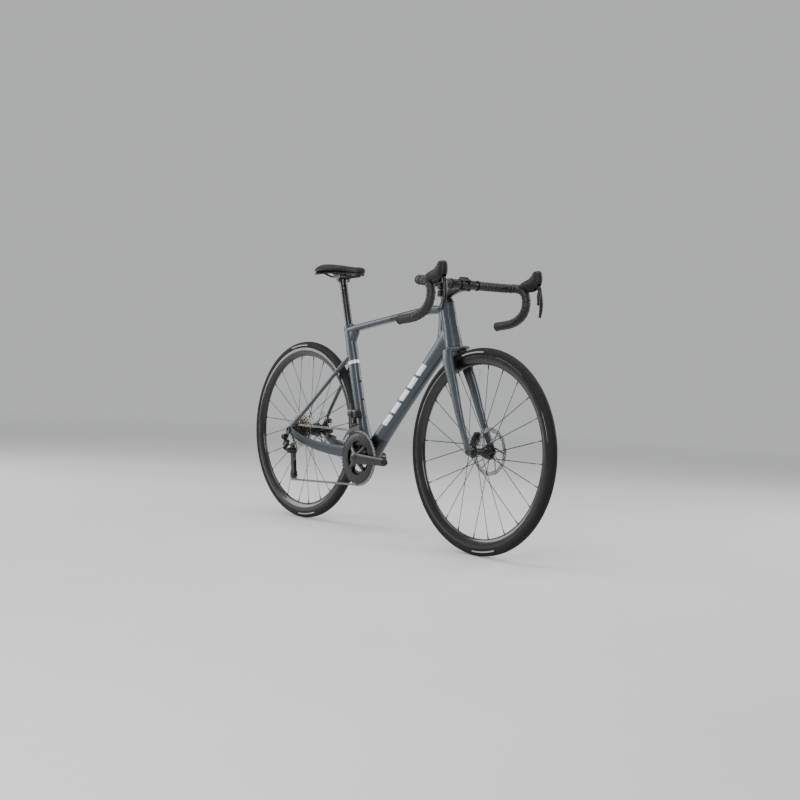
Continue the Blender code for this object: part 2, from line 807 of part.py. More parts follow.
def lever_blade(s):
    y = s * (BAR_HALF_WIDTH + 0.0010)
    stations = [
        ((0.4990, y, 0.8960), 0.0050, 0.0060),
        ((0.5160, y, 0.8900), 0.0070, 0.0065),
        ((0.5250, y + s * 0.001, 0.8700), 0.0065, 0.0065),
        ((0.5290, y + s * 0.002, 0.8450), 0.0055, 0.0060),
        ((0.5280, y + s * 0.004, 0.8150), 0.0048, 0.0058),
        ((0.5220, y + s * 0.006, 0.7880), 0.0040, 0.0050),
    ]
    return loft(stations, 8, 2.3)


def shift_button(s, k):
    """One of the two shift paddles behind the brake lever, k = 0 above and 1 below."""
    y = s * (BAR_HALF_WIDTH + 0.0010) + s * 0.0105
    top = 0.8760 - 0.0240 * k
    front = 0.5150 + 0.0020 * k
    outline = [
        (front - 0.0130, top),
        (front, top - 0.0010),
        (front + 0.0015, top - 0.0210),
        (front - 0.0140, top - 0.0210),
    ]
    low, high = sorted((y - s * 0.0018, y + s * 0.0012))
    return plate(outline, low, high)


def controls():
    for s, name in ((1, "left"), (-1, "right")):
        route = bar_route(s)
        room = pipe(route[2:], TAPE_RADIUS + GAP + 0.0001, 8)
        pocket = bar(
            lever_pivot(s) + Vector((-0.010, 0, -0.0095)),
            lever_pivot(s) + Vector((0.030, 0, -0.0095)),
            0.0075,
            0.0190,
        )
        place("hood_" + name, joined(hood(s), [room, pocket]), rubber(), route[7])
        place("brake_lever_" + name, lever_blade(s), black_paint(), lever_pivot(s))
        for k, which in enumerate(("upper", "lower")):
            place(
                f"shift_button_{which}_{name}",
                shift_button(s, k),
                black_plastic(),
                lever_pivot(s),
            )


# Wheels


def tyre(name, axle):
    half = TYRE_WIDTH / 2
    r = TYRE_RADIUS
    outer = [
        (RIM_OUTER - 0.0060, 0.0106),
        (RIM_OUTER + GAP, 0.0108),
        (r - 0.0130, half),
        (r, 0.0045),
    ]
    inner = [(RIM_OUTER - 0.0060, 0.0086), (r - 0.0060, 0.0070)]
    outline = [(a, -b) for a, b in outer] + outer[::-1] + inner + [(a, -b) for a, b in inner[::-1]]
    place(name, turned(outline, axle, LEFT, WHEEL_SEGMENTS), rubber(), axle)


def rim(name, axle, wheel_turn):
    half = RIM_WIDTH / 2
    side = [
        (RIM_INNER, 0.0060),
        (RIM_OUTER, half),
        (RIM_OUTER, 0.0112),
        (RIM_OUTER - 0.0065, 0.0112),
    ]
    outline = side + [(a, -b) for a, b in side[::-1]]
    hoop = turned(outline, axle, LEFT, WHEEL_SEGMENTS)
    up = Vector((math.sin(wheel_turn), 0, math.cos(wheel_turn)))
    valve = disc(axle, 0.0030, RIM_INNER - VALVE_LENGTH, RIM_INNER + 0.010, 8, up)
    place(name, joined([hoop, valve]), carbon(), axle)


def spokes(name, axle, flanges, wheel_turn):
    """Crossed spokes from both flanges, held together by the band of nipples inside the rim."""
    outer = RIM_INNER - 0.0004
    shapes = [ring(axle, outer - 0.0030, outer, -0.0042, 0.0042, WHEEL_SEGMENTS)]
    step = 2 * math.pi / SPOKES_PER_SIDE
    for s, (flange_y, flange_radius), phase in zip((1, -1), flanges, (step / 4, -step / 4)):
        for k in range(SPOKES_PER_SIDE):
            leading = 1 if k % 2 == 0 else -1
            hub_turn = step * k + phase + wheel_turn
            rim_turn = hub_turn + leading * 2 * step
            r = flange_radius + 0.0018
            y = flange_y + s * leading * 0.0014
            start = axle + Vector((r * math.sin(hub_turn), y, r * math.cos(hub_turn)))
            r = (outer - 0.0005) * math.cos(math.pi / WHEEL_SEGMENTS)
            end = axle + Vector((r * math.sin(rim_turn), s * 0.0020, r * math.cos(rim_turn)))
            shapes.append(pipe([start, end], 0.0012, 3))
    up = Vector((math.sin(wheel_turn), 0, math.cos(wheel_turn)))
    hole = disc(axle, 0.0036, outer - 0.010, outer + 0.010, 8, up)
    place(name, joined(shapes, [hole]), black_paint(), axle)


def hub(name, axle, half_width, flanges, body_radius, end_radius, extra):
    """A hub shell turned in one piece, bored through for the thru-axle."""
    bore = THRU_AXLE_RADIUS + GAP
    (left_y, left_r), (right_y, right_r) = flanges
    outline = [(bore, half_width - GAP), (end_radius, half_width - GAP)]
    outline += extra["left"]
    outline += [
        (left_r, left_y + 0.0022),
        (left_r, left_y - 0.0022),
        (body_radius, left_y - 0.0100),
        (body_radius, right_y + 0.0100),
        (right_r, right_y + 0.0022),
        (right_r, right_y - 0.0022),
    ]
    outline += extra["right"]
    outline += [(end_radius, -half_width + GAP), (bore, -half_width + GAP)]
    return place(name, turned(outline, axle, LEFT, 16), black_paint(), axle)


def rotor(name, axle, y):
    half = ROTOR_THICKNESS / 2
    shapes = [
        ring(axle, 0.0660, ROTOR_RADIUS, y - half, y + half, 24),
        ring(axle, 0.0186, 0.0264, y - half - 0.0006, y + half + 0.0006, 12),
    ]
    for k in range(6):
        turn = 2 * math.pi * k / 6
        inner, outer = 0.0240, 0.0675
        start = axle + Vector((inner * math.sin(turn), y, inner * math.cos(turn)))
        lean = turn + math.radians(28)
        end = axle + Vector((outer * math.sin(lean), y, outer * math.cos(lean)))
        shapes.append(bar(start, end, 0.0036, half * 0.8, LEFT))
    place(name, joined(shapes), steel(), axle)


def thru_axle(name, axle, half_width):
    outline = [
        (0, -half_width),
        (THRU_AXLE_RADIUS, -half_width),
        (THRU_AXLE_RADIUS, half_width + GAP),
        (0.0100, half_width + GAP),
        (0.0085, half_width + 0.0040),
        (0, half_width + 0.0040),
    ]
    place(name, turned(outline, axle, LEFT, 16), black_paint(), axle)


def front_wheel():
    tyre("front_tyre", FRONT_AXLE)
    rim("front_rim", FRONT_AXLE, FRONT_WHEEL_TURN)
    flanges = ((0.0225, 0.0215), (-0.0340, 0.0200))
    spokes("front_spokes", FRONT_AXLE, flanges, FRONT_WHEEL_TURN)
    extra = {
        "left": [(0.0110, FRONT_ROTOR_Y + 0.0060), (0.0174, FRONT_ROTOR_Y + 0.0050), (0.0174, 0.0330)],
        "right": [(0.0110, -0.0430)],
    }
    hub("front_hub", FRONT_AXLE, FRONT_HUB_WIDTH / 2, flanges, 0.0115, 0.0095, extra)
    rotor("front_rotor", FRONT_AXLE, FRONT_ROTOR_Y)
    thru_axle("front_thru_axle", FRONT_AXLE, 0.0592)


def rear_wheel():
    tyre("rear_tyre", REAR_AXLE)
    rim("rear_rim", REAR_AXLE, REAR_WHEEL_TURN)
    flanges = ((0.0330, 0.0225), (-0.0165, 0.0240))
    spokes("rear_spokes", REAR_AXLE, flanges, REAR_WHEEL_TURN)
    extra = {
        "left": [(0.0110, REAR_ROTOR_Y + 0.0060), (0.0174, REAR_ROTOR_Y + 0.0050), (0.0174, 0.0430)],
        "right": [(FREEHUB_RADIUS, -0.0200), (FREEHUB_RADIUS, -0.0660), (0.0105, -0.0670)],
    }
    hub("rear_hub", REAR_AXLE, REAR_HUB_WIDTH / 2, flanges, 0.0135, 0.0095, extra)
    rotor("rear_rotor", REAR_AXLE, REAR_ROTOR_Y)
    thru_axle("rear_thru_axle", REAR_AXLE, 0.0792)


def caliper(name, axle, outward, rotor_y):
    """A brake caliper: a block that straddles the rotor's edge, slotted for it."""
    centre = axle + outward * 0.0780 + LEFT * rotor_y
    along = outward.cross(LEFT)
    block = bar(centre - along * 0.0290, centre + along * 0.0290, 0.0140, 0.0110, outward)
    slot = disc(axle, ROTOR_RADIUS + 0.0015, rotor_y - 0.0022, rotor_y + 0.0022, 32)
    place(name, joined([block], [slot]), black_paint(), centre)


def calipers():
    turn = math.radians(156)
    outward = Vector((math.cos(turn), 0, math.sin(turn)))
    caliper("front_brake_caliper", FRONT_AXLE, outward, FRONT_ROTOR_Y)
    turn = math.radians(14)
    outward = Vector((math.cos(turn), 0, math.sin(turn)))
    caliper("rear_brake_caliper", REAR_AXLE, outward, REAR_ROTOR_Y)


# Drivetrain


def chainring(name, teeth, y, inner):
    r = pitch_radius(teeth) - ROLLER_DEPTH - ROOT_CLEARANCE
    outline = [(inner, y - 0.0010), (r, y - 0.0010), (r, y + 0.0010), (inner, y + 0.0010)]
    place(name, turned(outline, BB, LEFT, 24), black_paint(), BB)


def cranks():
    eye_right = (BB_X + CRANK_LENGTH, BB_Z)
    eye_left = (BB_X - CRANK_LENGTH, BB_Z)
    centre = (BB_X, BB_Z)
    right = [
        disc(BB, 0.0215, -0.0700, -0.0445, 20),
        plate(capsule_outline(centre, eye_right, 0.0215, 0.0145), -0.0690, -0.0565),
        disc(BB, 0.0120, -0.0600, 0.0640, 20),
    ]
    for degrees in (45, 135, 225, 315):
        turn = math.radians(degrees)
        outward = Vector((math.cos(turn), 0, math.sin(turn)))
        root = BB + outward * 0.0120 + LEFT * -0.0560
        tip = BB + outward * 0.0540 + LEFT * (OUTER_RING_Y - 0.0040)
        right.append(bar(root, tip, 0.0080, 0.0026, LEFT))
    pedal_hole = disc((eye_right[0], 0, eye_right[1]), PEDAL_HOLE, -0.08, -0.04, 16)
    place("crank_arm_right", joined(right, [pedal_hole]), black_paint(), BB)
    left = [
        plate(capsule_outline(centre, eye_left, 0.0190, 0.0145), 0.0560, 0.0690),
        disc(BB, 0.0205, 0.0450, 0.0700, 20),
    ]
    holes = [
        disc((eye_left[0], 0, eye_left[1]), PEDAL_HOLE, 0.04, 0.08, 16),
        disc(BB, 0.0120 + GAP, 0.03, 0.0643, 20),
    ]
    place("crank_arm_left", joined(left, holes), black_paint(), BB)
    chainring("chainring_outer", OUTER_RING_TEETH, OUTER_RING_Y, 0.0500)
    chainring("chainring_inner", INNER_RING_TEETH, INNER_RING_Y, 0.0480)


def cassette():
    bore = FREEHUB_RADIUS + 0.0005
    outline = [(bore, SMALL_COG_Y - 0.0024)]
    y = SMALL_COG_Y
    for k, teeth in enumerate(COG_TEETH):
        r = pitch_radius(teeth) + 0.0026
        if k == 0:
            r = pitch_radius(teeth) - ROLLER_DEPTH - ROOT_CLEARANCE
        front = y - (0.0024 if k == 0 else 0.0009)
        outline += [(r, front), (r, y + 0.0026)]
        y += COG_SPACING
    back = y - COG_SPACING + 0.0009
    outline[-1] = (outline[-1][0], back)
    bore_end = SMALL_COG_Y + 0.0180
    outline += [(0.0560, back), (0.0190, bore_end), (bore, bore_end)]
    place("cassette", turned(outline, REAR_AXLE, LEFT, 16), nickel(), REAR_AXLE)


def arc_points(centre, radius, start, end, y, step_degrees):
    """Points round a sprocket from one angle to another, at a steady step."""
    count = max(2, round(abs(end - start) / step_degrees))
    found = []
    for k in range(count + 1):
        turn = math.radians(start + (end - start) * k / count)
        found.append(
            Vector((centre.x + radius * math.cos(turn), y, centre.z + radius * math.sin(turn)))
        )
    return found


def tangent(first, first_radius, second, second_radius, side):
    """The angle at which a straight run touches two circles; side is +1 or -1."""
    dx, dz = second.x - first.x, second.z - first.z
    distance = math.hypot(dx, dz)
    heading = math.atan2(dz, dx)
    lean = math.acos((first_radius - second_radius) / distance)
    return math.degrees(heading + side * lean)


def chain_band(path):
    """The chain as a band, its section square to the path and standing across the run."""
    half_width, half_height = 0.00255, ROLLER_DEPTH - 0.0001
    rings = []
    for i, centre in enumerate(path):
        along = path[min(i + 1, len(path) - 1)] - path[max(i - 1, 0)]
        along = Vector((along.x, 0, along.z)).normalized()
        out = along.cross(LEFT)
        corners = [(1, 1), (1, -1), (-1, -1), (-1, 1)]
        rings.append([centre + out * (half_height * a) + LEFT * (half_width * b) for a, b in corners])
    return skin(rings)


def chain_route():
    """The pitch line in two stretches: round the rings and cog, and round the pulleys."""
    big, cog, small = (pitch_radius(n) for n in (OUTER_RING_TEETH, COG_TEETH[0], PULLEY_TEETH))
    top = tangent(BB, big, REAR_AXLE, cog, -1)
    low = tangent(BB, big, TENSION_PULLEY, small, 1)
    over = tangent(REAR_AXLE, cog, GUIDE_PULLEY, -small, -1) % 360
    cross = tangent(GUIDE_PULLEY, small, TENSION_PULLEY, -small, 1)
    ring_wrap = arc_points(BB, big, low, top, OUTER_RING_Y, 11)
    cog_wrap = arc_points(REAR_AXLE, cog, top, over, SMALL_COG_Y, 20)
    guide_wrap = arc_points(GUIDE_PULLEY, small, over - 180, cross, SMALL_COG_Y, 20)
    tension_wrap = arc_points(TENSION_PULLEY, small, cross + 180, low + 360, SMALL_COG_Y, 20)

    def between(a, b, t):
        middle = a.lerp(b, t)
        middle.y = a.y + (b.y - a.y) * min(max((t - 0.2) / 0.6, 0), 1)
        return middle

    low_run = [between(tension_wrap[-1], ring_wrap[0], t) for t in (0.02, 0.2, 0.8)]
    top_run = [between(ring_wrap[-1], cog_wrap[0], t) for t in (0.2, 0.8)]
    stub = guide_wrap[0].lerp(cog_wrap[-1], 0.06)
    last = guide_wrap[0].lerp(cog_wrap[-1], 0.08)
    main_path = low_run + ring_wrap + top_run + cog_wrap + [last]
    start = tension_wrap[-1].lerp(ring_wrap[0], 0.019)
    start.y = SMALL_COG_Y
    return main_path, [stub] + guide_wrap + tension_wrap + [start]


def chain():
    main_path, cage_path = chain_route()
    place("chain", chain_band(main_path), steel())
    place("chain_wrap", chain_band(cage_path), steel(), CAGE_PIVOT)


def slab(points, direction, low, high):
    """A flat outline of 3D points, extruded from low to high along a direction."""
    return skin([[p + direction * d for p in points] for d in (low, high)])


def link_outline(start, end, radius, steps=4):
    """A rounded bar's outline between two pivots, in the plane the derailleur swings in."""
    along = (end - start).normalized()
    across = LINK_AXIS.cross(along)
    found = []
    for centre, first in ((start, 90), (end, -90)):
        for k in range(steps + 1):
            turn = math.radians(first + 180 * k / steps)
            found.append(centre + (along * math.cos(turn) + across * math.sin(turn)) * radius)
    return found


def clevis(pivot, reach):
    """Two ears and their pins, with the block that joins them a little way along reach."""
    inner = pivot + LINK_SPACING
    ear_low, ear_high = LINK_HALF_HEIGHT + GAP, LINK_HALF_HEIGHT + 0.0027
    shapes = []
    for low, high in ((ear_low, ear_high), (-ear_high, -ear_low)):
        shapes.append(slab(link_outline(pivot, inner, 0.0042), LINK_AXIS, low, high))
        foot = [pivot, inner, inner + reach, pivot + reach]
        shapes.append(slab(foot, LINK_AXIS, low + 0.0002, high - 0.0002))
    middle = (pivot + inner) / 2 + reach
    reach_across = LINK_INWARD * 0.0083
    shapes.append(
        bar(middle - reach_across, middle + reach_across, 0.0024, ear_high - 0.0004, LINK_AXIS)
    )
    for at in (pivot, inner):
        shapes.append(disc(at, LINK_PIN, -ear_low - 0.001, ear_low + 0.001, 8, LINK_AXIS))
    return shapes


def derailleur_knuckles():
    reach = LINK_AHEAD * -0.0078
    barrel = disc(HANGER_BOLT, 0.0105, -0.0990, -0.0850, 16)
    bolt = disc(HANGER_BOLT, HANGER_BOLT_RADIUS - GAP, -0.0980, -0.0780, 12)
    middle = OUTER_PIVOT + LINK_SPACING / 2 + reach
    arm = bar(HANGER_BOLT + LEFT * -0.0915, middle, 0.0060, 0.0070, LINK_AXIS)
    hanger_room = disc(HANGER_BOLT, 0.0118, -0.0848, -0.0700, 16)
    upper = joined([joined(clevis(OUTER_PIVOT, reach) + [barrel, arm], [hanger_room]), bolt])
    place("rear_derailleur_b_knuckle", upper, black_paint(), HANGER_BOLT)
    low_pivot = OUTER_PIVOT + LINK_RUN
    reach = LINK_AHEAD * 0.0078
    barrel = disc(CAGE_PIVOT, 0.0100, -0.0930, -0.0705, 16)
    middle = low_pivot + LINK_SPACING / 2 + reach
    drop = middle - LINK_AXIS * 0.0150
    neck = bar(middle + LINK_AXIS * 0.004, drop, 0.0070, 0.0026, LINK_AHEAD)
    under = bar(drop + LINK_AHEAD * 0.002, CAGE_PIVOT + LEFT * -0.0850, 0.0070, 0.0040, LINK_AXIS)
    bore = disc(CAGE_PIVOT, 0.0045, -0.0890, -0.0600, 12)
    lower = joined(clevis(low_pivot, reach) + [barrel, neck, under], [bore])
    place("rear_derailleur_p_knuckle", lower, black_paint(), low_pivot)


def derailleur_links():
    for name, start in (("outer", OUTER_PIVOT), ("inner", OUTER_PIVOT + LINK_SPACING)):
        end = start + LINK_RUN
        body = slab(link_outline(start, end, 0.0040), LINK_AXIS, -LINK_HALF_HEIGHT, LINK_HALF_HEIGHT)
        holes = [disc(at, LINK_PIN + 0.00040, -0.02, 0.02, 8, LINK_AXIS) for at in (start, end)]
        place("rear_derailleur_link_" + name, joined([body], holes), black_paint(), start)


def derailleur_cage():
    ends = (GUIDE_PULLEY.x, GUIDE_PULLEY.z), (TENSION_PULLEY.x, TENSION_PULLEY.z)
    outline = capsule_outline(*ends, 0.0100, 0.0095)
    shapes = []
    for low, high in ((-0.0060, -0.0042), (0.0042, 0.0058)):
        shapes.append(plate(outline, SMALL_COG_Y + low, SMALL_COG_Y + high))
    lobe = capsule_outline((CAGE_PIVOT.x, CAGE_PIVOT.z), ends[0], 0.0090, 0.0089)
    shapes.append(plate(lobe, SMALL_COG_Y - 0.0070, SMALL_COG_Y - 0.0042))
    shapes.append(disc(CAGE_PIVOT, 0.0042, -0.0860, SMALL_COG_Y - 0.0050, 12))
    for pulley in (GUIDE_PULLEY, TENSION_PULLEY):
        shapes.append(disc(pulley, PULLEY_BORE - 0.0003, -0.0052, 0.0052, 12))
    place("rear_derailleur_cage", joined(shapes), black_paint(), CAGE_PIVOT)
    radius = pitch_radius(PULLEY_TEETH) - ROLLER_DEPTH - ROOT_CLEARANCE
    for name, centre in (("guide", GUIDE_PULLEY), ("tension", TENSION_PULLEY)):
        wheel = ring(centre, PULLEY_BORE, radius, -0.0012, 0.0012, 14)
        place(name + "_pulley", wheel, black_plastic(), centre)


def derailleur_hanger():
    axle = (REAR_AXLE.x, REAR_AXLE.z)
    outline = capsule_outline(axle, (HANGER_BOLT.x, HANGER_BOLT.z), 0.0110, 0.0085)
    holes = [
        disc(REAR_AXLE, THRU_AXLE_RADIUS, -0.10, -0.05, 16),
        disc(HANGER_BOLT, HANGER_BOLT_RADIUS, -0.10, -0.05, 12),
    ]
    place("derailleur_hanger", joined([plate(outline, -0.0845, -0.0795)], holes), grey_metal())


def front_derailleur():
    x, y, z = FD_HINGE
    body = bar((x - 0.0300, y, z), (x + 0.0260, y, z), 0.0120, 0.0150, UP)
    bracket = bar((x - 0.004, y + 0.006, z + 0.004), (x - 0.004, y + 0.0168, z + 0.004), 0.0090, 0.0100, UP)
    slot = bar((x, y - 0.0001, z - 0.0300), (x, y - 0.0001, z + 0.0065), 0.0180, 0.0042, FORWARD)
    pin = disc(FD_HINGE, FD_PIN, -0.0060, 0.0060, 10, FORWARD)
    post = joined([joined([body, bracket], [slot]), pin])
    place("front_derailleur_body", post, grey_metal())
    arm = bar((x, y, z + 0.0030), (x, y - 0.0030, 0.3860), 0.0045, 0.0036, FORWARD)
    top = plate(
        [(x - 0.045, 0.3850), (x + 0.030, 0.3900), (x + 0.030, 0.3925), (x - 0.045, 0.3880)],
        OUTER_RING_Y - 0.0062,
        -0.0350,
    )
    shapes = [arm, top]
    outer = [(x - 0.052, 0.3500), (x + 0.036, 0.3690), (x + 0.036, 0.3910), (x - 0.050, 0.3860)]
    inner = [(x - 0.056, 0.3400), (x + 0.034, 0.3600), (x + 0.034, 0.3910), (x - 0.050, 0.3860)]
    shapes.append(plate(outer, OUTER_RING_Y - 0.0062, OUTER_RING_Y - 0.0050))
    shapes.append(plate(inner, -0.0362, -0.0350))
    hole = disc(FD_HINGE, FD_PIN + 0.00025, -0.02, 0.02, 10, FORWARD)
    place("front_derailleur_cage", joined(shapes, [hole]), steel(), FD_HINGE)


def drivetrain():
    cranks()
    cassette()
    chain()
    derailleur_hanger()
    derailleur_knuckles()
    derailleur_links()
    derailleur_cage()
    front_derailleur()


# Seat


def saddle_outline():
    """Along the saddle from tail to nose: x, half width, top z, thickness, droop of the sides."""
    return [
        (-0.4180, 0.0300, 0.9690, 0.0110, 0.0120),
        (-0.4110, 0.0550, 0.9730, 0.0130, 0.0220),
        (-0.3950, 0.0680, 0.9750, 0.0150, 0.0250),
        (-0.3700, 0.0710, 0.9750, 0.0160, 0.0250),
        (-0.3420, 0.0655, 0.9735, 0.0160, 0.0210),
        (-0.3150, 0.0520, 0.9705, 0.0170, 0.0150),
        (-0.2850, 0.0360, 0.9670, 0.0180, 0.0100),
        (-0.2550, 0.0260, 0.9640, 0.0190, 0.0070),
        (-0.2250, 0.0210, 0.9615, 0.0200, 0.0060),
        (-0.1950, 0.0185, 0.9585, 0.0210, 0.0060),
        (-0.1800, 0.0120, 0.9545, 0.0170, 0.0050),
    ]


def saddle_rings(skip, thick, inset):
    """Rings across the saddle; skip is how far below the cover's underside they start."""
    rings = []
    for x, half, z, padding, droop in saddle_outline():
        w = half - inset
        top = []
        for k in range(-2, 3):
            u = k / 2
            fall = droop * abs(u) ** 2.2
            drop = 0 if skip is None else padding + skip
            top.append(Vector((x, w * u, z - fall - drop)))
        deep = padding if thick is None else thick
        low = [p - UP * deep for p in reversed(top)]
        low[0].z += deep * 0.35
        low[-1].z += deep * 0.35
        rings.append(top + low)
    return rings


def saddle():
    cover = skin(saddle_rings(None, None, 0.0))
    place("saddle_cover", cover, black_plastic(), (-0.300, 0, 0.955))
    shell = skin(saddle_rings(GAP + 0.0002, 0.0040, 0.0030))
    place("saddle_shell", shell, black_plastic(), (-0.300, 0, 0.955))
    half = [
        (-0.3980, 0.0340, 0.9440),
        (-0.3650, 0.0270, 0.9330),
        (-0.3400, RAIL_Y, RAIL_Z),
        (-0.2620, RAIL_Y, RAIL_Z),
        (-0.2220, 0.0130, 0.9258),
        (-0.2060, 0.0060, 0.9262),
    ]
    mirrored = [(x, -y, z) for x, y, z in half[::-1]]
    wire = half + mirrored
    place("saddle_rails", pipe(wire, RAIL_RADIUS, 8), steel())


def saddle_clamp():
    """Two cradles that grip the rails; the lower one turns on a barrel in the post's head."""
    middle = seat(RAIL_Z).x
    start, end = Vector((middle - 0.0190, 0, 0)), Vector((middle + 0.0190, 0, 0))
    grooves = []
    for s in (1, -1):
        groove = [Vector((middle + x, s * RAIL_Y, RAIL_Z)) for x in (-0.03, 0.03)]
        grooves.append(groove)
    parts = (
        ("saddle_clamp_lower", RAIL_Z - 0.0030, 0.0027),
        ("saddle_clamp_upper", RAIL_Z + 0.0040, 0.0037),
    )
    for name, z, half_height in parts:
        shapes = [bar(start + UP * z, end + UP * z, 0.0270, half_height, UP)]
        if name == "saddle_clamp_lower":
            shapes.append(disc(seat(BARREL_Z), BARREL_RADIUS, -0.0265, 0.0265, 16))
        cutters = [pipe(groove, RAIL_RADIUS + GAP, 12) for groove in grooves]
        place(name, joined(shapes, cutters), grey_metal())


def seatpost():
    foot = seat(POST_FOOT_Z)
    length = (0.9120 - POST_FOOT_Z) / SEAT_UP.z
    post = disc(foot, SEATPOST_RADIUS, 0, length, 16, SEAT_UP)
    head = loft(
        [
            (seat(0.8980), 0.0130, 0.0134),
            (seat(0.9080), 0.0165, 0.0150),
            (seat(0.9185), 0.0180, 0.0155),
        ],
        12,
        2.4,
        end_directions=(SEAT_UP, UP),
    )
    trough = disc(seat(BARREL_Z), BARREL_RADIUS + GAP, -0.04, 0.04, 16)
    ceiling = bar((-0.40, 0, 0.9340), (-0.20, 0, 0.9340), 0.05, 0.0145, UP)
    place("seatpost", joined([post, head], [trough, ceiling]), carbon(), seat(0.742))


def main():
    clear_scene()
    frame()
    bottom_bracket()
    headset()
    fork()
    stem()
    stem_faceplate()
    handlebar()
    controls()
    front_wheel()
    rear_wheel()
    calipers()
    drivetrain()
    saddle()
    saddle_clamp()
    seatpost()


main()
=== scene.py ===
import json
import math

import bmesh
import bpy
from mathutils import Matrix, Vector


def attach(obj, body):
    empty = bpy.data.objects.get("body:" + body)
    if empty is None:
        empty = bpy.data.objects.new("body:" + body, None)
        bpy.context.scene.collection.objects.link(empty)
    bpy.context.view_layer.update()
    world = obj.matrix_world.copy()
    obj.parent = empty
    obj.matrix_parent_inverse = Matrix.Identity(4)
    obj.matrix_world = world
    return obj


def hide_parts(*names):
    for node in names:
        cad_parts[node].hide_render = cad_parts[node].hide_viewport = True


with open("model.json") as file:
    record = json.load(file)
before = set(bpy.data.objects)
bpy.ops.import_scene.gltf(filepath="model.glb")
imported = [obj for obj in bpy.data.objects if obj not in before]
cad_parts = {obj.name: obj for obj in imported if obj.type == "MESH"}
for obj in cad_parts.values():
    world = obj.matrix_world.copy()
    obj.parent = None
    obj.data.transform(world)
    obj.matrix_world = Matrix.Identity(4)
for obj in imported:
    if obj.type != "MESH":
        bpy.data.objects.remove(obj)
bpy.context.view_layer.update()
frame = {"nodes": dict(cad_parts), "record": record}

BODY_NODES = frame["record"]["behaviour"]["bodies"]

# Dimensions shared with the CAD, in metres
WHEELBASE = 0.998
TYRE_RADIUS = 0.34
TYRE_HALF = 0.0145
RIM_OUTER = 0.317
HEAD_ANGLE = math.radians(72.5)
SEAT_ANGLE = math.radians(73.0)
FORK_RAKE = 0.047
PITCH = 0.0127
SMALL_COG_Y = -0.062
COG_SPACING = 0.00355
COG_TEETH = (10, 11, 12, 13, 14, 15, 17, 19, 21, 24, 28, 33)
OUTER_RING_TEETH = 48
INNER_RING_TEETH = 35
OUTER_RING_Y = -0.0475
INNER_RING_Y = -0.0405
PULLEY_TEETH = 11
CRANK_LENGTH = 0.1725
PEDAL_HOLE = 0.00714
ROTOR_RADIUS = 0.08
FRONT_ROTOR_Y = 0.0395
REAR_ROTOR_Y = 0.0555
BAR_HALF_WIDTH = 0.21
BAR_CLAMP_RADIUS = 0.0159
BAR_RADIUS = 0.0119
TAPE_RADIUS = 0.015
CROWN_Z = 0.6755
HEAD_TOP_Z = 0.822
STEM_LOW_Z = 0.836
STEM_HIGH_Z = 0.878
BB_HALF = 0.042
GAP = 0.0003
SPOKES_PER_SIDE = 12
FRONT_WHEEL_TURN = math.radians(-4.4)
REAR_WHEEL_TURN = math.radians(-1.6)

LEFT = Vector((0, 1, 0))
UP = Vector((0, 0, 1))
FORWARD = Vector((1, 0, 0))
REAR_AXLE = Vector((-WHEELBASE / 2, 0, TYRE_RADIUS))
FRONT_AXLE = Vector((WHEELBASE / 2, 0, TYRE_RADIUS))
BB = Vector((-0.0955, 0, 0.266))
STEER_UP = Vector((-math.cos(HEAD_ANGLE), 0, math.sin(HEAD_ANGLE)))
STEER_AHEAD = Vector((math.sin(HEAD_ANGLE), 0, math.cos(HEAD_ANGLE)))
STEER_FOOT = FRONT_AXLE - STEER_AHEAD * FORK_RAKE
SEAT_UP = Vector((-math.cos(SEAT_ANGLE), 0, math.sin(SEAT_ANGLE)))
SEAT_AHEAD = Vector((math.sin(SEAT_ANGLE), 0, math.cos(SEAT_ANGLE)))
SEAT_TUBE_TOP = Vector((-0.248, 0, 0.74))
BAR_CENTRE = Vector((0.378, 0, 0.887))
GUIDE_PULLEY = Vector((-0.49, SMALL_COG_Y, 0.268))
TENSION_PULLEY = Vector((-0.474, SMALL_COG_Y, 0.1695))
CAGE_PIVOT = Vector((-0.477, 0, 0.261))
HANGER_BOLT = Vector((-0.507, 0, 0.312))


def pitch_radius(teeth):
    return PITCH / (2 * math.sin(math.pi / teeth))


def steer(z, ahead=0.0, y=0.0):
    """The point of the steering axis at height z, moved ahead of the axis and sideways."""
    along = (z - STEER_FOOT.z) / STEER_UP.z
    return STEER_FOOT + STEER_UP * along + STEER_AHEAD * ahead + LEFT * y


def seat(z, ahead=0.0):
    """The point of the seat tube's axis at height z, moved ahead of the axis."""
    along = (z - SEAT_TUBE_TOP.z) / SEAT_UP.z
    return SEAT_TUBE_TOP + SEAT_UP * along + SEAT_AHEAD * ahead


# Camera, floor and light


CAMERA_PLACE = (3.53822078, -2.82664605, 0.63290783)
CAMERA_TURN = (50.82138, 1.88626, 2.73046)  # azimuth, elevation and roll in degrees
CAMERA_LENS = 57.16
FLOOR_REACH = 50.0
FLOOR_DROP = 0.0002  # keeps the floor's face clear of the tyres'
BACKDROP = (0.86, 0.87, 0.88)
BACKDROP_STRENGTH = 0.6


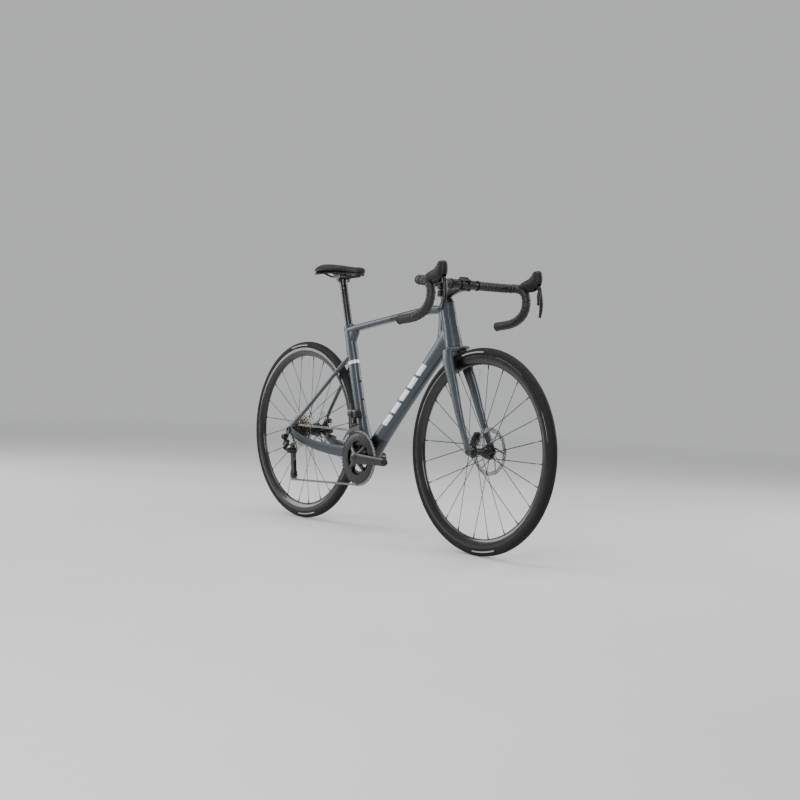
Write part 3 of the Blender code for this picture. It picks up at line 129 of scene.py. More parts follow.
def add_camera():
    azimuth, elevation, roll = (math.radians(a) for a in CAMERA_TURN)
    back = Vector((math.sin(azimuth) * math.cos(elevation), -math.cos(azimuth) * math.cos(elevation),
        math.sin(elevation)))
    right = Vector((math.cos(azimuth), math.sin(azimuth), 0))
    up = back.cross(right)
    rolled_right = right * math.cos(roll) + up * math.sin(roll)
    rolled_up = up * math.cos(roll) - right * math.sin(roll)
    lens = bpy.data.cameras.new("camera")
    lens.sensor_width = 36.0
    lens.lens = CAMERA_LENS
    lens.clip_end = FLOOR_REACH * 2.4
    camera = bpy.data.objects.new("camera", lens)
    bpy.context.scene.collection.objects.link(camera)
    rows = [[rolled_right[i], rolled_up[i], back[i], CAMERA_PLACE[i]] for i in range(3)]
    camera.matrix_world = Matrix(rows + [[0, 0, 0, 1]])
    bpy.context.scene.camera = camera


def add_light(name, place, target, size, power):
    lamp = bpy.data.lights.new(name, "AREA")
    lamp.shape = "RECTANGLE"
    lamp.size, lamp.size_y = size
    lamp.energy = power
    light = bpy.data.objects.new(name, lamp)
    light.location = place
    light.rotation_euler = (Vector(target) - Vector(place)).to_track_quat("-Z", "Y").to_euler()
    bpy.context.scene.collection.objects.link(light)


def add_studio():
    world = bpy.data.worlds.new("studio")
    world.use_nodes = True
    sky = world.node_tree.nodes["Background"]
    sky.inputs["Color"].default_value = (*BACKDROP, 1)
    sky.inputs["Strength"].default_value = BACKDROP_STRENGTH
    bpy.context.scene.world = world
    add_light("overhead_softbox", (0.2, -0.2, 3.2), (0, 0, 0.4), (3.4, 2.2), 85)
    add_light("key_softbox", (2.4, -3.4, 1.9), (0, 0, 0.5), (1.8, 1.8), 90)
    add_light("side_softbox", (-3.0, -1.6, 1.5), (0, 0, 0.5), (1.2, 2.4), 50)
    add_light("rim_softbox", (1.6, 3.4, 1.8), (0, 0, 0.5), (2.4, 1.4), 70)


# Materials


class Look:
    """A node material under construction: each helper adds one node and returns its output."""

    def __init__(self, name):
        self.material = bpy.data.materials.new(name)
        self.material.use_nodes = True
        self.tree = self.material.node_tree
        self.shader = self.tree.nodes["Principled BSDF"]
        self.place = self.add("ShaderNodeTexCoord").outputs["Object"]

    def add(self, kind, **settings):
        node = self.tree.nodes.new(kind)
        for key, value in settings.items():
            setattr(node, key, value)
        return node

    def wire(self, source, socket):
        if isinstance(source, bpy.types.NodeSocket):
            self.tree.links.new(source, socket)
        else:
            socket.default_value = source

    def math(self, operation, a, b=0.0, c=0.0):
        node = self.add("ShaderNodeMath", operation=operation)
        for source, socket in zip((a, b, c), node.inputs):
            self.wire(source, socket)
        return node.outputs[0]

    def times(self, first, *others):
        for other in others:
            first = self.math("MULTIPLY", first, other)
        return first

    def plus(self, a, b):
        return self.math("ADD", a, b)

    def minus(self, a, b):
        return self.math("SUBTRACT", a, b)

    def sine(self, a):
        return self.math("SINE", a)

    def distance(self, a):
        return self.math("ABSOLUTE", a)

    def dot(self, direction, centre=(0, 0, 0)):
        """How far the point is from centre along a direction."""
        moved = self.add("ShaderNodeVectorMath", operation="SUBTRACT")
        self.wire(self.place, moved.inputs[0])
        moved.inputs[1].default_value = centre
        node = self.add("ShaderNodeVectorMath", operation="DOT_PRODUCT")
        self.wire(moved.outputs[0], node.inputs[0])
        node.inputs[1].default_value = direction
        return node.outputs["Value"]

    def noise(self, scale, detail=3.0):
        node = self.add("ShaderNodeTexNoise")
        self.wire(self.place, node.inputs["Vector"])
        node.inputs["Scale"].default_value = scale
        node.inputs["Detail"].default_value = detail
        return node.outputs["Fac"]

    def cells(self, scale):
        node = self.add("ShaderNodeTexVoronoi")
        self.wire(self.place, node.inputs["Vector"])
        node.inputs["Scale"].default_value = scale
        return node.outputs["Distance"]

    def ramp(self, source, low, high, to_low=0.0, to_high=1.0):
        node = self.add("ShaderNodeMapRange")
        for value, socket in zip((source, low, high, to_low, to_high), node.inputs):
            self.wire(value, socket)
        return node.outputs["Result"]

    def between(self, source, low, high, soft=0.0006):
        """1 where source lies between low and high, with a thin soft edge, else 0."""
        rise = self.ramp(source, low - soft, low + soft)
        fall = self.ramp(source, high - soft, high + soft, 1.0, 0.0)
        return self.times(rise, fall)

    def blend(self, painted_shade, a, b):
        node = self.add("ShaderNodeMix", data_type="RGBA")
        self.wire(painted_shade, node.inputs["Factor"])
        for source, socket in ((a, node.inputs["A"]), (b, node.inputs["B"])):
            self.wire(source if isinstance(source, bpy.types.NodeSocket) else (*source, 1), socket)
        return node.outputs["Result"]

    def shades(self, colour, spread, source):
        dark = tuple(c * (1 - spread) for c in colour)
        light = tuple(min(1, c * (1 + spread)) for c in colour)
        return self.blend(source, dark, light)

    def bump(self, height, distance):
        node = self.add("ShaderNodeBump")
        node.inputs["Strength"].default_value = 1.0
        node.inputs["Distance"].default_value = distance
        self.wire(height, node.inputs["Height"])
        self.wire(node.outputs["Normal"], self.shader.inputs["Normal"])

    def length(self, x, z):
        return self.math("SQRT", self.plus(self.times(x, x), self.times(z, z)))

    def patchy(self, scale, detail, low, high):
        """A value that wanders between low and high, for roughness."""
        return self.ramp(self.noise(scale, detail), 0.3, 0.7, low, high)

    def around(self, centre):
        """The angle about the Y axis through centre in radians, and the distance from it."""
        x = self.dot((1, 0, 0), centre)
        z = self.dot((0, 0, 1), centre)
        turn = self.math("ARCTAN2", z, x)
        return turn, self.length(x, z)

    def finish(self, colour, roughness, metallic=0.0, coat=0.0, coat_roughness=0.1, sheen=0.0,
        specular=0.5):
        s = self.shader.inputs
        self.wire(colour, s["Base Color"])
        self.wire(roughness, s["Roughness"])
        self.wire(metallic, s["Metallic"])
        s["Coat Weight"].default_value = coat
        s["Coat Roughness"].default_value = coat_roughness
        s["Sheen Weight"].default_value = sheen
        if specular is not None:
            s["Specular IOR Level"].default_value = specular
        return self.material


def plain_look(name, colour, roughness, metallic=0.0, grain=900.0, depth=0.00006, spread=0.14, **more):
    """A cast, moulded or anodised surface: soft tone changes, smudges and a fine grain."""
    look = Look(name)
    broad = look.noise(14.0, 4.0)
    fine = look.noise(grain, 2.0)
    tone = look.shades(colour, spread, look.plus(look.times(broad, 0.6), look.times(fine, 0.4)))
    rough = look.patchy(45.0, 5.0, roughness * 0.8, min(1.0, roughness * 1.25))
    look.bump(fine, depth)
    return look.finish(tone, rough, metallic, **more)


DOWN_TUBE_START = Vector((-0.036, 0, 0.331))
DOWN_TUBE_ALONG = (Vector((0.262, 0, 0.656)) - DOWN_TUBE_START).normalized()
DOWN_TUBE_ACROSS = DOWN_TUBE_ALONG.cross(LEFT)
FRAME_BLUE = (0.038, 0.048, 0.058)
FRAME_BLACK = (0.006, 0.0065, 0.007)
MARK_SILVER = (0.66, 0.68, 0.7)


def flaked(look, colour):
    """Satin metallic paint: fine flakes and a slow change of tone."""
    flake = look.ramp(look.cells(2600.0), 0.1, 0.9)
    broad = look.noise(6.0, 3.0)
    mixed = look.plus(look.times(flake, 0.5), look.times(broad, 0.5))
    return look.shades(colour, 0.13, mixed), flake


def satin(look, colour):
    rough = look.patchy(30.0, 4.0, 0.3, 0.4)
    look.bump(look.noise(160.0, 2.0), 0.00005)
    return look.finish(colour, rough, 0.3, coat=0.3, coat_roughness=0.2, specular=0.4)


def frame_paint():
    """Blue-grey satin paint, black round the bottom bracket, with plain silver bars."""
    look = Look("frame_paint")
    colour, flake = flaked(look, FRAME_BLUE)
    along = look.dot(DOWN_TUBE_ALONG, DOWN_TUBE_START)
    across = look.dot(DOWN_TUBE_ACROSS, DOWN_TUBE_START)
    side = look.distance(look.dot((0, 1, 0)))
    lean = look.plus(along, look.times(across, 0.55))
    height = look.dot((0, 0, 1))
    ahead = look.dot((1, 0, 0))
    sides_only = look.ramp(side, 0.012, 0.0135)
    marks = look.between(across, -0.008, 0.018, 0.0004)
    bars = None
    for start, end in ((0.085, 0.135), (0.147, 0.197), (0.209, 0.259), (0.271, 0.321), (0.333, 0.383)):
        bar_here = look.between(lean, start, end, 0.0004)
        bars = bar_here if bars is None else look.math("MAXIMUM", bars, bar_here)
    low_tube = look.between(height, 0.335, 0.64)
    marks = look.times(marks, bars, look.times(sides_only, low_tube))
    front_only = look.ramp(ahead, -0.06, -0.05)
    marks = look.times(marks, front_only)
    colour = look.blend(marks, colour, MARK_SILVER)
    shade = look.shades(FRAME_BLACK, 0.3, flake)
    slope = look.plus(height, look.times(ahead, 0.83))
    low_front = look.ramp(slope, 0.34, 0.3412, 1.0, 0.0)
    behind = look.ramp(ahead, -0.198, -0.1968)
    past_seat_tube = look.ramp(ahead, -0.08, -0.079)
    under = look.math("MAXIMUM", look.ramp(height, 0.338, 0.3392, 1.0, 0.0), past_seat_tube)
    black = look.times(low_front, behind, under)
    colour = look.blend(black, colour, shade)
    ring = look.between(look.dot(SEAT_UP, seat(0.608)), -0.006, 0.006)
    ring = look.times(ring, look.ramp(ahead, -0.232, -0.231))
    ring = look.times(ring, look.ramp(ahead, -0.15, -0.14, 1.0, 0.0))
    colour = look.blend(ring, colour, MARK_SILVER)
    band = look.times(look.between(ahead, 0.012, 0.165), look.ramp(height, 0.722, 0.724))
    colour = look.blend(look.times(band, 0.8), colour, shade)
    return satin(look, colour)


def fork_paint():
    look = Look("fork_paint")
    colour, _ = flaked(look, FRAME_BLUE)
    along = look.dot(STEER_UP, steer(0.5))
    side = look.distance(look.dot((0, 1, 0)))
    # Painted shade: the inner faces of the fork legs, toward the wheel, are darkened about a third of the way
    # to black below the crown.
    inner = look.ramp(side, 0.0405, 0.0415, 1.0, 0.0)
    low = look.ramp(along, 0.125, 0.127, 1.0, 0.0)
    painted_shade = look.times(inner, low)
    colour = look.blend(look.times(painted_shade, 0.35), colour, FRAME_BLACK)
    return satin(look, colour)


def gloss_carbon(name, centre=None):
    """Lacquered carbon: a faint woven sheen under a clear coat, wound round a rim's centre."""
    look = Look(name)
    x, z = look.dot((1, 0, 1)), look.dot((1, 0, -1))
    if centre is not None:
        turn, radius = look.around(centre)
        x, z = look.times(turn, 0.3), radius
    y = look.dot((0, 1, 0))
    warp = look.sine(look.times(look.plus(x, z), 1900.0))
    weft = look.sine(look.times(look.minus(x, look.plus(z, y)), 1900.0))
    weave = look.ramp(look.times(warp, weft), -1.0, 1.0)
    colour = look.shades((0.004, 0.0042, 0.0045), 0.5, weave)
    rough = look.patchy(25.0, 4.0, 0.2, 0.34)
    look.bump(weave, 0.000015)
    return look.finish(colour, rough, 0.0, coat=0.55, coat_roughness=0.05, specular=0.25)


def tyre_rubber(name, centre):
    """Black rubber: a smooth crown, slanted sipes on the shoulders and a ribbed sidewall."""
    look = Look(name)
    turn, radius = look.around(centre)
    side = look.distance(look.dot((0, 1, 0)))
    sipes = look.sine(look.plus(look.times(turn, 150.0), look.times(side, 900.0)))
    groove = look.ramp(sipes, 0.72, 0.92)
    shoulder = look.between(side, 0.0058, 0.0112, 0.0006)
    outside = look.ramp(radius, 0.33, 0.331)
    groove = look.times(groove, shoulder, outside)
    ribs = look.ramp(look.sine(look.times(radius, 9000.0)), -1.0, 1.0)
    ribs = look.times(ribs, look.ramp(radius, 0.3275, 0.3285, 0.25, 0.0))
    label = look.between(radius, 0.3235, 0.3275, 0.0003)
    stretches = [look.ramp(look.distance(look.minus(turn, middle)), 0.16, 0.163, 1.0, 0.0)
        for middle in (1.72, 1.72 - math.pi)]
    label = look.times(label, look.math("MAXIMUM", *stretches))
    dust = look.noise(60.0, 5.0)
    colour = look.shades((0.0075, 0.0075, 0.008), 0.35, dust)
    # Painted shade: the sipe grooves are coloured darker than the rubber round them.
    colour = look.blend(groove, colour, (0.002, 0.002, 0.002))
    colour = look.blend(look.times(label, 0.8), colour, (0.42, 0.43, 0.44))
    rough = look.ramp(dust, 0.3, 0.7, 0.56, 0.74)
    height = look.minus(look.plus(look.noise(1500.0, 2.0), ribs), look.times(groove, 3.0))
    look.bump(height, 0.00012)
    return look.finish(colour, rough, specular=0.22)


def brushed(name, colour, roughness, centre):
    """Turned metal: fine rings about the wheel's axis, with heat and oil staining."""
    look = Look(name)
    _, radius = look.around(centre)
    rings = look.sine(look.times(look.plus(radius, look.times(look.noise(40.0), 0.002)), 14000.0))
    rings = look.ramp(rings, -1.0, 1.0)
    stain = look.noise(35.0, 5.0)
    tone = look.shades(colour, 0.2, look.plus(look.times(rings, 0.35), look.times(stain, 0.65)))
    rough = look.ramp(stain, 0.3, 0.7, roughness * 0.8, roughness * 1.35)
    look.bump(rings, 0.00002)
    return look.finish(tone, rough, 1.0)


def oiled_steel(name, colour, roughness):
    """Chain plates: bright wear on top of dark oil that gathers in patches."""
    look = Look(name)
    oil = look.ramp(look.noise(260.0, 4.0), 0.42, 0.62)
    tone = look.blend(oil, colour, tuple(c * 0.45 for c in colour))
    rough = look.ramp(oil, 0.0, 1.0, roughness, roughness * 1.5)
    look.bump(look.noise(1400.0, 2.0), 0.00003)
    return look.finish(tone, rough, 1.0)


def saddle_leather():
    """Black covering with a fine pebbled grain and a perforated middle."""
    look = Look("saddle_leather")
    grain = look.cells(950.0)
    broad = look.noise(22.0, 4.0)
    colour = look.shades((0.0075, 0.0075, 0.008), 0.35, broad)
    across = look.dot((0, 1, 0))
    middle = look.between(across, -0.0095, 0.0095, 0.0005)
    dots = look.ramp(look.cells(330.0), 0.16, 0.24, 1.0, 0.0)
    dots = look.times(dots, middle)
    # Painted shade: the perforations are coloured near black, for the shade inside the holes.
    colour = look.blend(dots, colour, (0.0015, 0.0015, 0.0015))
    rough = look.patchy(50.0, 4.0, 0.42, 0.58)
    look.bump(look.minus(grain, look.times(dots, 2.0)), 0.00014)
    return look.finish(colour, rough, specular=0.28)


def tape_rubber():
    """Bar tape: matt foam with a stamped dimple pattern."""
    look = Look("bar_tape")
    dimple = look.ramp(look.cells(420.0), 0.25, 0.55)
    broad = look.noise(40.0, 4.0)
    colour = look.shades((0.007, 0.007, 0.0075), 0.35, broad)
    rough = look.ramp(broad, 0.3, 0.7, 0.4, 0.55)
    look.bump(look.plus(dimple, look.times(look.noise(900.0), 0.4)), 0.00022)
    return look.finish(colour, rough, specular=0.45)


def hood_rubber():
    """Soft lever hoods: diamond grip pattern low on the sides, smooth on the horn."""
    look = Look("hood_rubber")
    x, z = look.dot((1, 0, 0.6)), look.dot((1, 0, -0.6))
    y = look.dot((0, 1, 0))
    a = look.sine(look.times(look.plus(x, y), 1700.0))
    b = look.sine(look.times(look.minus(z, y), 1700.0))
    knurl = look.ramp(look.times(a, b), -0.4, 0.4)
    low = look.ramp(look.dot((0.3, 0, 1)), 1.05, 1.062, 1.0, 0.0)
    broad = look.noise(40.0, 4.0)
    colour = look.shades((0.007, 0.007, 0.0075), 0.3, broad)
    rough = look.ramp(broad, 0.3, 0.7, 0.42, 0.56)
    height = look.plus(look.times(knurl, low), look.times(look.noise(1200.0), 0.25))
    look.bump(height, 0.00012)
    return look.finish(colour, rough, specular=0.28)


def floor_look():
    look = Look("studio_floor")
    broad = look.noise(1.4, 5.0)
    colour = look.shades((0.66, 0.66, 0.665), 0.05, broad)
    rough = look.patchy(9.0, 4.0, 0.62, 0.78)
    look.bump(look.noise(220.0, 2.0), 0.0002)
    x, y = look.dot((1, 0, 0)), look.dot((0, 1, 0))
    away = look.length(x, y)
    far = look.add("ShaderNodeMapRange", interpolation_type="SMOOTHSTEP")
    for value, socket in zip((away, 2.2, 9.0), far.inputs):
        look.wire(value, socket)
    far = far.outputs["Result"]
    colour = look.blend(far, colour, (0.0, 0.0, 0.0))
    s = look.shader.inputs
    s["Emission Color"].default_value = (*BACKDROP, 1)
    look.wire(look.times(far, BACKDROP_STRENGTH), s["Emission Strength"])
    look.wire(look.math("MULTIPLY_ADD", far, -0.5, 0.5), s["Specular IOR Level"])
    return look.finish(colour, rough, specular=None)


# Building blocks: each returns a closed shape as (points, faces)


def mm(*values):
    """Millimetres to metres, in nested tuples."""
    return [tuple(mm(*v)) if isinstance(v, tuple) else v / 1000 for v in values]


def skin(rings):
    count = len(rings[0])
    points = [p for ring in rings for p in ring]
    faces = []
    total = len(rings)
    for r in range(total - 1):
        a, b = r * count, (r + 1) * count
        for i in range(count):
            j = (i + 1) % count
            faces.append((a + i, a + j, b + j, b + i))
    faces.append(tuple(range(count))[::-1])
    faces.append(tuple((total - 1) * count + i for i in range(count)))
    return points, faces


def flow(rows, count):
    """Rows of numbers (x, y, z first) resampled on a smooth curve through them."""
    at = [0.0]
    for a, b in zip(rows, rows[1:]):
        at.append(at[-1] + math.dist(a[:3], b[:3]))
    slopes = []
    last = len(rows) - 1
    for i in range(len(rows)):
        lo, hi = max(i - 1, 0), min(i + 1, last)
        slopes.append([(q - p) / (at[hi] - at[lo]) for p, q in zip(rows[lo], rows[hi])])
    found, j = [], 0
    for n in range(count + 1):
        t = at[-1] * n / count
        while j < last - 1 and t > at[j + 1]:
            j += 1
        h = at[j + 1] - at[j]
        u = (t - at[j]) / h
        weights = (2 * u**3 - 3 * u**2 + 1, u**3 - 2 * u**2 + u, 3 * u**2 - 2 * u**3, u**3 - u**2)
        found.append([weights[0] * p + weights[1] * h * m + weights[2] * q + weights[3] * h * n2 for p, m,
            q, n2 in zip(rows[j], slopes[j], rows[j + 1], slopes[j + 1])])
    return found


def oval(half_a, half_b, sides, power=2.0):
    found = []
    for i in range(sides):
        turn = 2 * math.pi * (i + 0.5) / sides
        c, s = math.cos(turn), math.sin(turn)
        a = math.copysign(abs(c) ** (2 / power), c) * half_a
        b = math.copysign(abs(s) ** (2 / power), s) * half_b
        found.append((a, b))
    return found


def loft(rows, count=40, sides=32, power=2.3, side=LEFT, ends=(None, None)):
    """A tube through rows (x, y, z, half depth, half width); the width runs along side."""
    rows = [[*Vector(r[0]), *r[1:]] if len(r) == 3 else list(r) for r in rows]
    dense = flow(rows, count)
    centres = [Vector(r[:3]) for r in dense]
    rings = []
    for i, row in enumerate(dense):
        along = centres[min(i + 1, len(centres) - 1)] - centres[max(i - 1, 0)]
        if i == 0 and ends[0] is not None:
            along = Vector(ends[0])
        if i == len(dense) - 1 and ends[1] is not None:
            along = Vector(ends[1])
        along.normalize()
        across = (side - along * side.dot(along)).normalized()
        deep = across.cross(along)
        rings.append([centres[i] + deep * a + across * b for a, b in oval(row[3], row[4], sides, power)])
    return skin(rings)


def tube_rings(path, radii, sides, side=UP, twist=None):
    rings = []
    across = side
    for i, centre in enumerate(path):
        along = (path[min(i + 1, len(path) - 1)] - path[max(i - 1, 0)]).normalized()
        across = (across - along * across.dot(along)).normalized()
        over = along.cross(across)
        ring = []
        for k in range(sides):
            turn = 2 * math.pi * k / sides
            r = radii[i] if twist is None else radii[i] + twist(i, turn)
            ring.append(centre + (across * math.cos(turn) + over * math.sin(turn)) * r)
        rings.append(ring)
    return rings


def pipe(path, radius, sides=16, count=None):
    if count:
        path = [Vector(p) for p in flow([list(p) for p in path], count)]
    path = [Vector(p) for p in path]
    radii = radius if isinstance(radius, list) else [radius] * len(path)
    return skin(tube_rings(path, radii, sides))


def turned(outline, centre=(0, 0, 0), axis=LEFT, segments=64):
    """An outline of (radius, distance along the axis) points, turned about the axis."""
    centre = Vector(centre)
    axis = Vector(axis).normalized()
    start = UP if abs(axis.z) < 0.9 else FORWARD
    across = (start - axis * start.dot(axis)).normalized()
    over = axis.cross(across)
    turns = [2 * math.pi * i / segments for i in range(segments)]
    spokes = [across * math.cos(a) + over * math.sin(a) for a in turns]
    points, rows, faces = [], [], []
    for radius, along in outline:
        middle = centre + axis * along
        first = len(points)
        if radius < 1e-9:
            points.append(middle)
            rows.append([first])
        else:
            points.extend(middle + spoke * radius for spoke in spokes)
            rows.append(list(range(first, first + segments)))
    pairs = list(zip(rows, rows[1:]))
    if len(rows[0]) > 1:
        pairs.append((rows[-1], rows[0]))
    for low, high in pairs:
        for i in range(segments):
            j = (i + 1) % segments
            corners = [low[i % len(low)], low[j % len(low)], high[j % len(high)], high[i % len(high)]]
            faces.append(tuple(dict.fromkeys(corners)))
    return points, [f for f in faces if len(f) > 2]


def disc(centre, radius, low, high, segments=40, axis=LEFT, edge=0.0):
    """A cylinder from low to high along the axis, its rims chamfered by edge."""
    outline = [(0, low), (radius - edge, low), (radius, low + edge), (radius, high - edge),
        (radius - edge, high), (0, high)]
    if not edge:
        outline = [(0, low), (radius, low), (radius, high), (0, high)]
    return turned(outline, centre, axis, segments)


def ring(centre, inner, outer, low, high, segments=64, axis=LEFT):
    return turned([(inner, low), (outer, low), (outer, high), (inner, high)], centre, axis, segments)


def bar(start, end, half_width, half_height, side=UP):
    start, end = Vector(start), Vector(end)
    along = (end - start).normalized()
    across = (side - along * side.dot(along)).normalized()
    over = along.cross(across)
    corners = [(1, 1), (-1, 1), (-1, -1), (1, -1)]
    rings = []
    for point in (start, end):
        rings.append([point + across * half_height * a + over * half_width * b for a, b in corners])
    return skin(rings)


def plate(outline, low, high):
    return skin([[Vector((x, y, z)) for x, z in outline] for y in (low, high)])


def polar(radius, turn, y=0.0):
    """A point on a circle about the Y axis, turned from straight ahead."""
    return Vector((radius * math.cos(turn), y, radius * math.sin(turn)))


def clock(radius, turn, y=0.0):
    """A point on a circle about the Y axis, turned from straight up."""
    return Vector((radius * math.sin(turn), y, radius * math.cos(turn)))


def flat_band(outer, inner, y, half):
    """A flat closed band between two loops with the same number of points."""
    count = len(outer)
    points, faces = [], []
    for side in (y - half, y + half):
        for loop in (outer, inner):
            points.extend(Vector((p.x, side, p.z)) for p in loop)
    for k in range(count):
        j = (k + 1) % count
        a, b, c, d = (k + count * q for q in range(4))
        a2, b2, c2, d2 = (j + count * q for q in range(4))
        faces += [(a, a2, b2, b), (c, d, d2, c2), (a, c, c2, a2), (b, b2, d2, d)]
    return points, faces


def span(s, near, far):
    """The low and high Y of a stretch from near to far, on the left (s = 1) or right (s = -1)."""
    return sorted((s * near, s * far))


def merged(shapes):
    points, faces = [], []
    for more_points, more_faces in shapes:
        start = len(points)
        points.extend(more_points)
        faces.extend(tuple(i + start for i in f) for f in more_faces)
    return points, faces


def raw_mesh(name, shape):
    points, faces = shape
    mesh = bpy.data.meshes.new(name)
    mesh.from_pydata([tuple(p) for p in points], [], faces)
    bm = bmesh.new()
    bm.from_mesh(mesh)
    bmesh.ops.recalc_face_normals(bm, faces=bm.faces)
    bm.to_mesh(mesh)
    bm.free()
    return mesh


def evaluated(thing):
    """The object's points and faces with its modifiers applied; the object is removed."""
    bpy.context.view_layer.update()
    graph = bpy.context.evaluated_depsgraph_get()
    mesh = bpy.data.meshes.new_from_object(thing.evaluated_get(graph))
    points = [v.co.copy() for v in mesh.vertices]
    faces = [tuple(p.vertices) for p in mesh.polygons]
    bpy.data.meshes.remove(mesh)
    old = thing.data
    bpy.data.objects.remove(thing)
    bpy.data.meshes.remove(old)
    return points, faces


def helper(shape):
    thing = bpy.data.objects.new("helper", raw_mesh("helper", shape))
    bpy.context.scene.collection.objects.link(thing)
    return thing


def melted(shapes, voxel, passes, swell=0.0):
    """The shapes grown into one skin with their joints filleted."""
    thing = helper(merged(shapes))
    remesh = thing.modifiers.new("melt", "REMESH")
    remesh.mode = "VOXEL"
    remesh.voxel_size = voxel
    smooth = thing.modifiers.new("fillet", "SMOOTH")
    smooth.factor = 0.5
    smooth.iterations = passes
    if swell:
        grow = thing.modifiers.new("swell", "DISPLACE")
        grow.strength = swell
        grow.mid_level = 0.0
    return evaluated(thing)


def carved(shape, cutters=(), additions=()):
    """The shape joined with the additions, then less the cutters, by Booleans."""
    for operation, others in (("UNION", additions), ("DIFFERENCE", cutters)):
        for other in others:
            base, tool = helper(shape), helper(other)
            step = base.modifiers.new("cut", "BOOLEAN")
            step.solver = "MANIFOLD"
            step.operation = operation
            step.object = tool
            shape = evaluated(base)
            mesh = tool.data
            bpy.data.objects.remove(tool)
            bpy.data.meshes.remove(mesh)
    return shape


def make(name, parts, body, nodes=(), edge=0.0, angle=35):
    """A finished piece from (shape, material) pairs, riding on a body and standing for nodes."""
    points, faces, indices, looks = [], [], [], []
    for shape, look in parts:
        if look not in looks:
            looks.append(look)
        start = len(points)
        points.extend(shape[0])
        faces.extend(tuple(i + start for i in f) for f in shape[1])
        indices.extend([looks.index(look)] * len(shape[1]))
    mesh = raw_mesh(name, (points, faces))
    for look in looks:
        mesh.materials.append(look)
    mesh.polygons.foreach_set("material_index", indices)
    mesh.shade_smooth()
    mesh.set_sharp_from_angle(angle=math.radians(angle))
    piece = bpy.data.objects.new(name, mesh)
    bpy.context.scene.collection.objects.link(piece)
    if edge:
        bevel = piece.modifiers.new("edges", "BEVEL")
        bevel.width = edge
        bevel.segments = 2
        bevel.limit_method = "ANGLE"
        bevel.angle_limit = math.radians(40)
        bevel.harden_normals = True
    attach(piece, body)
    if nodes:
        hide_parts(*nodes)
    return piece


# Frame and fork


def wheel_room(axle, radius, half_width):
    outline = [(0, -half_width), (radius - 0.01, -half_width), (radius, -half_width + 0.009),
        (radius, half_width - 0.009), (radius - 0.01, half_width), (0, half_width)]
    return turned(outline, axle, LEFT, 128)


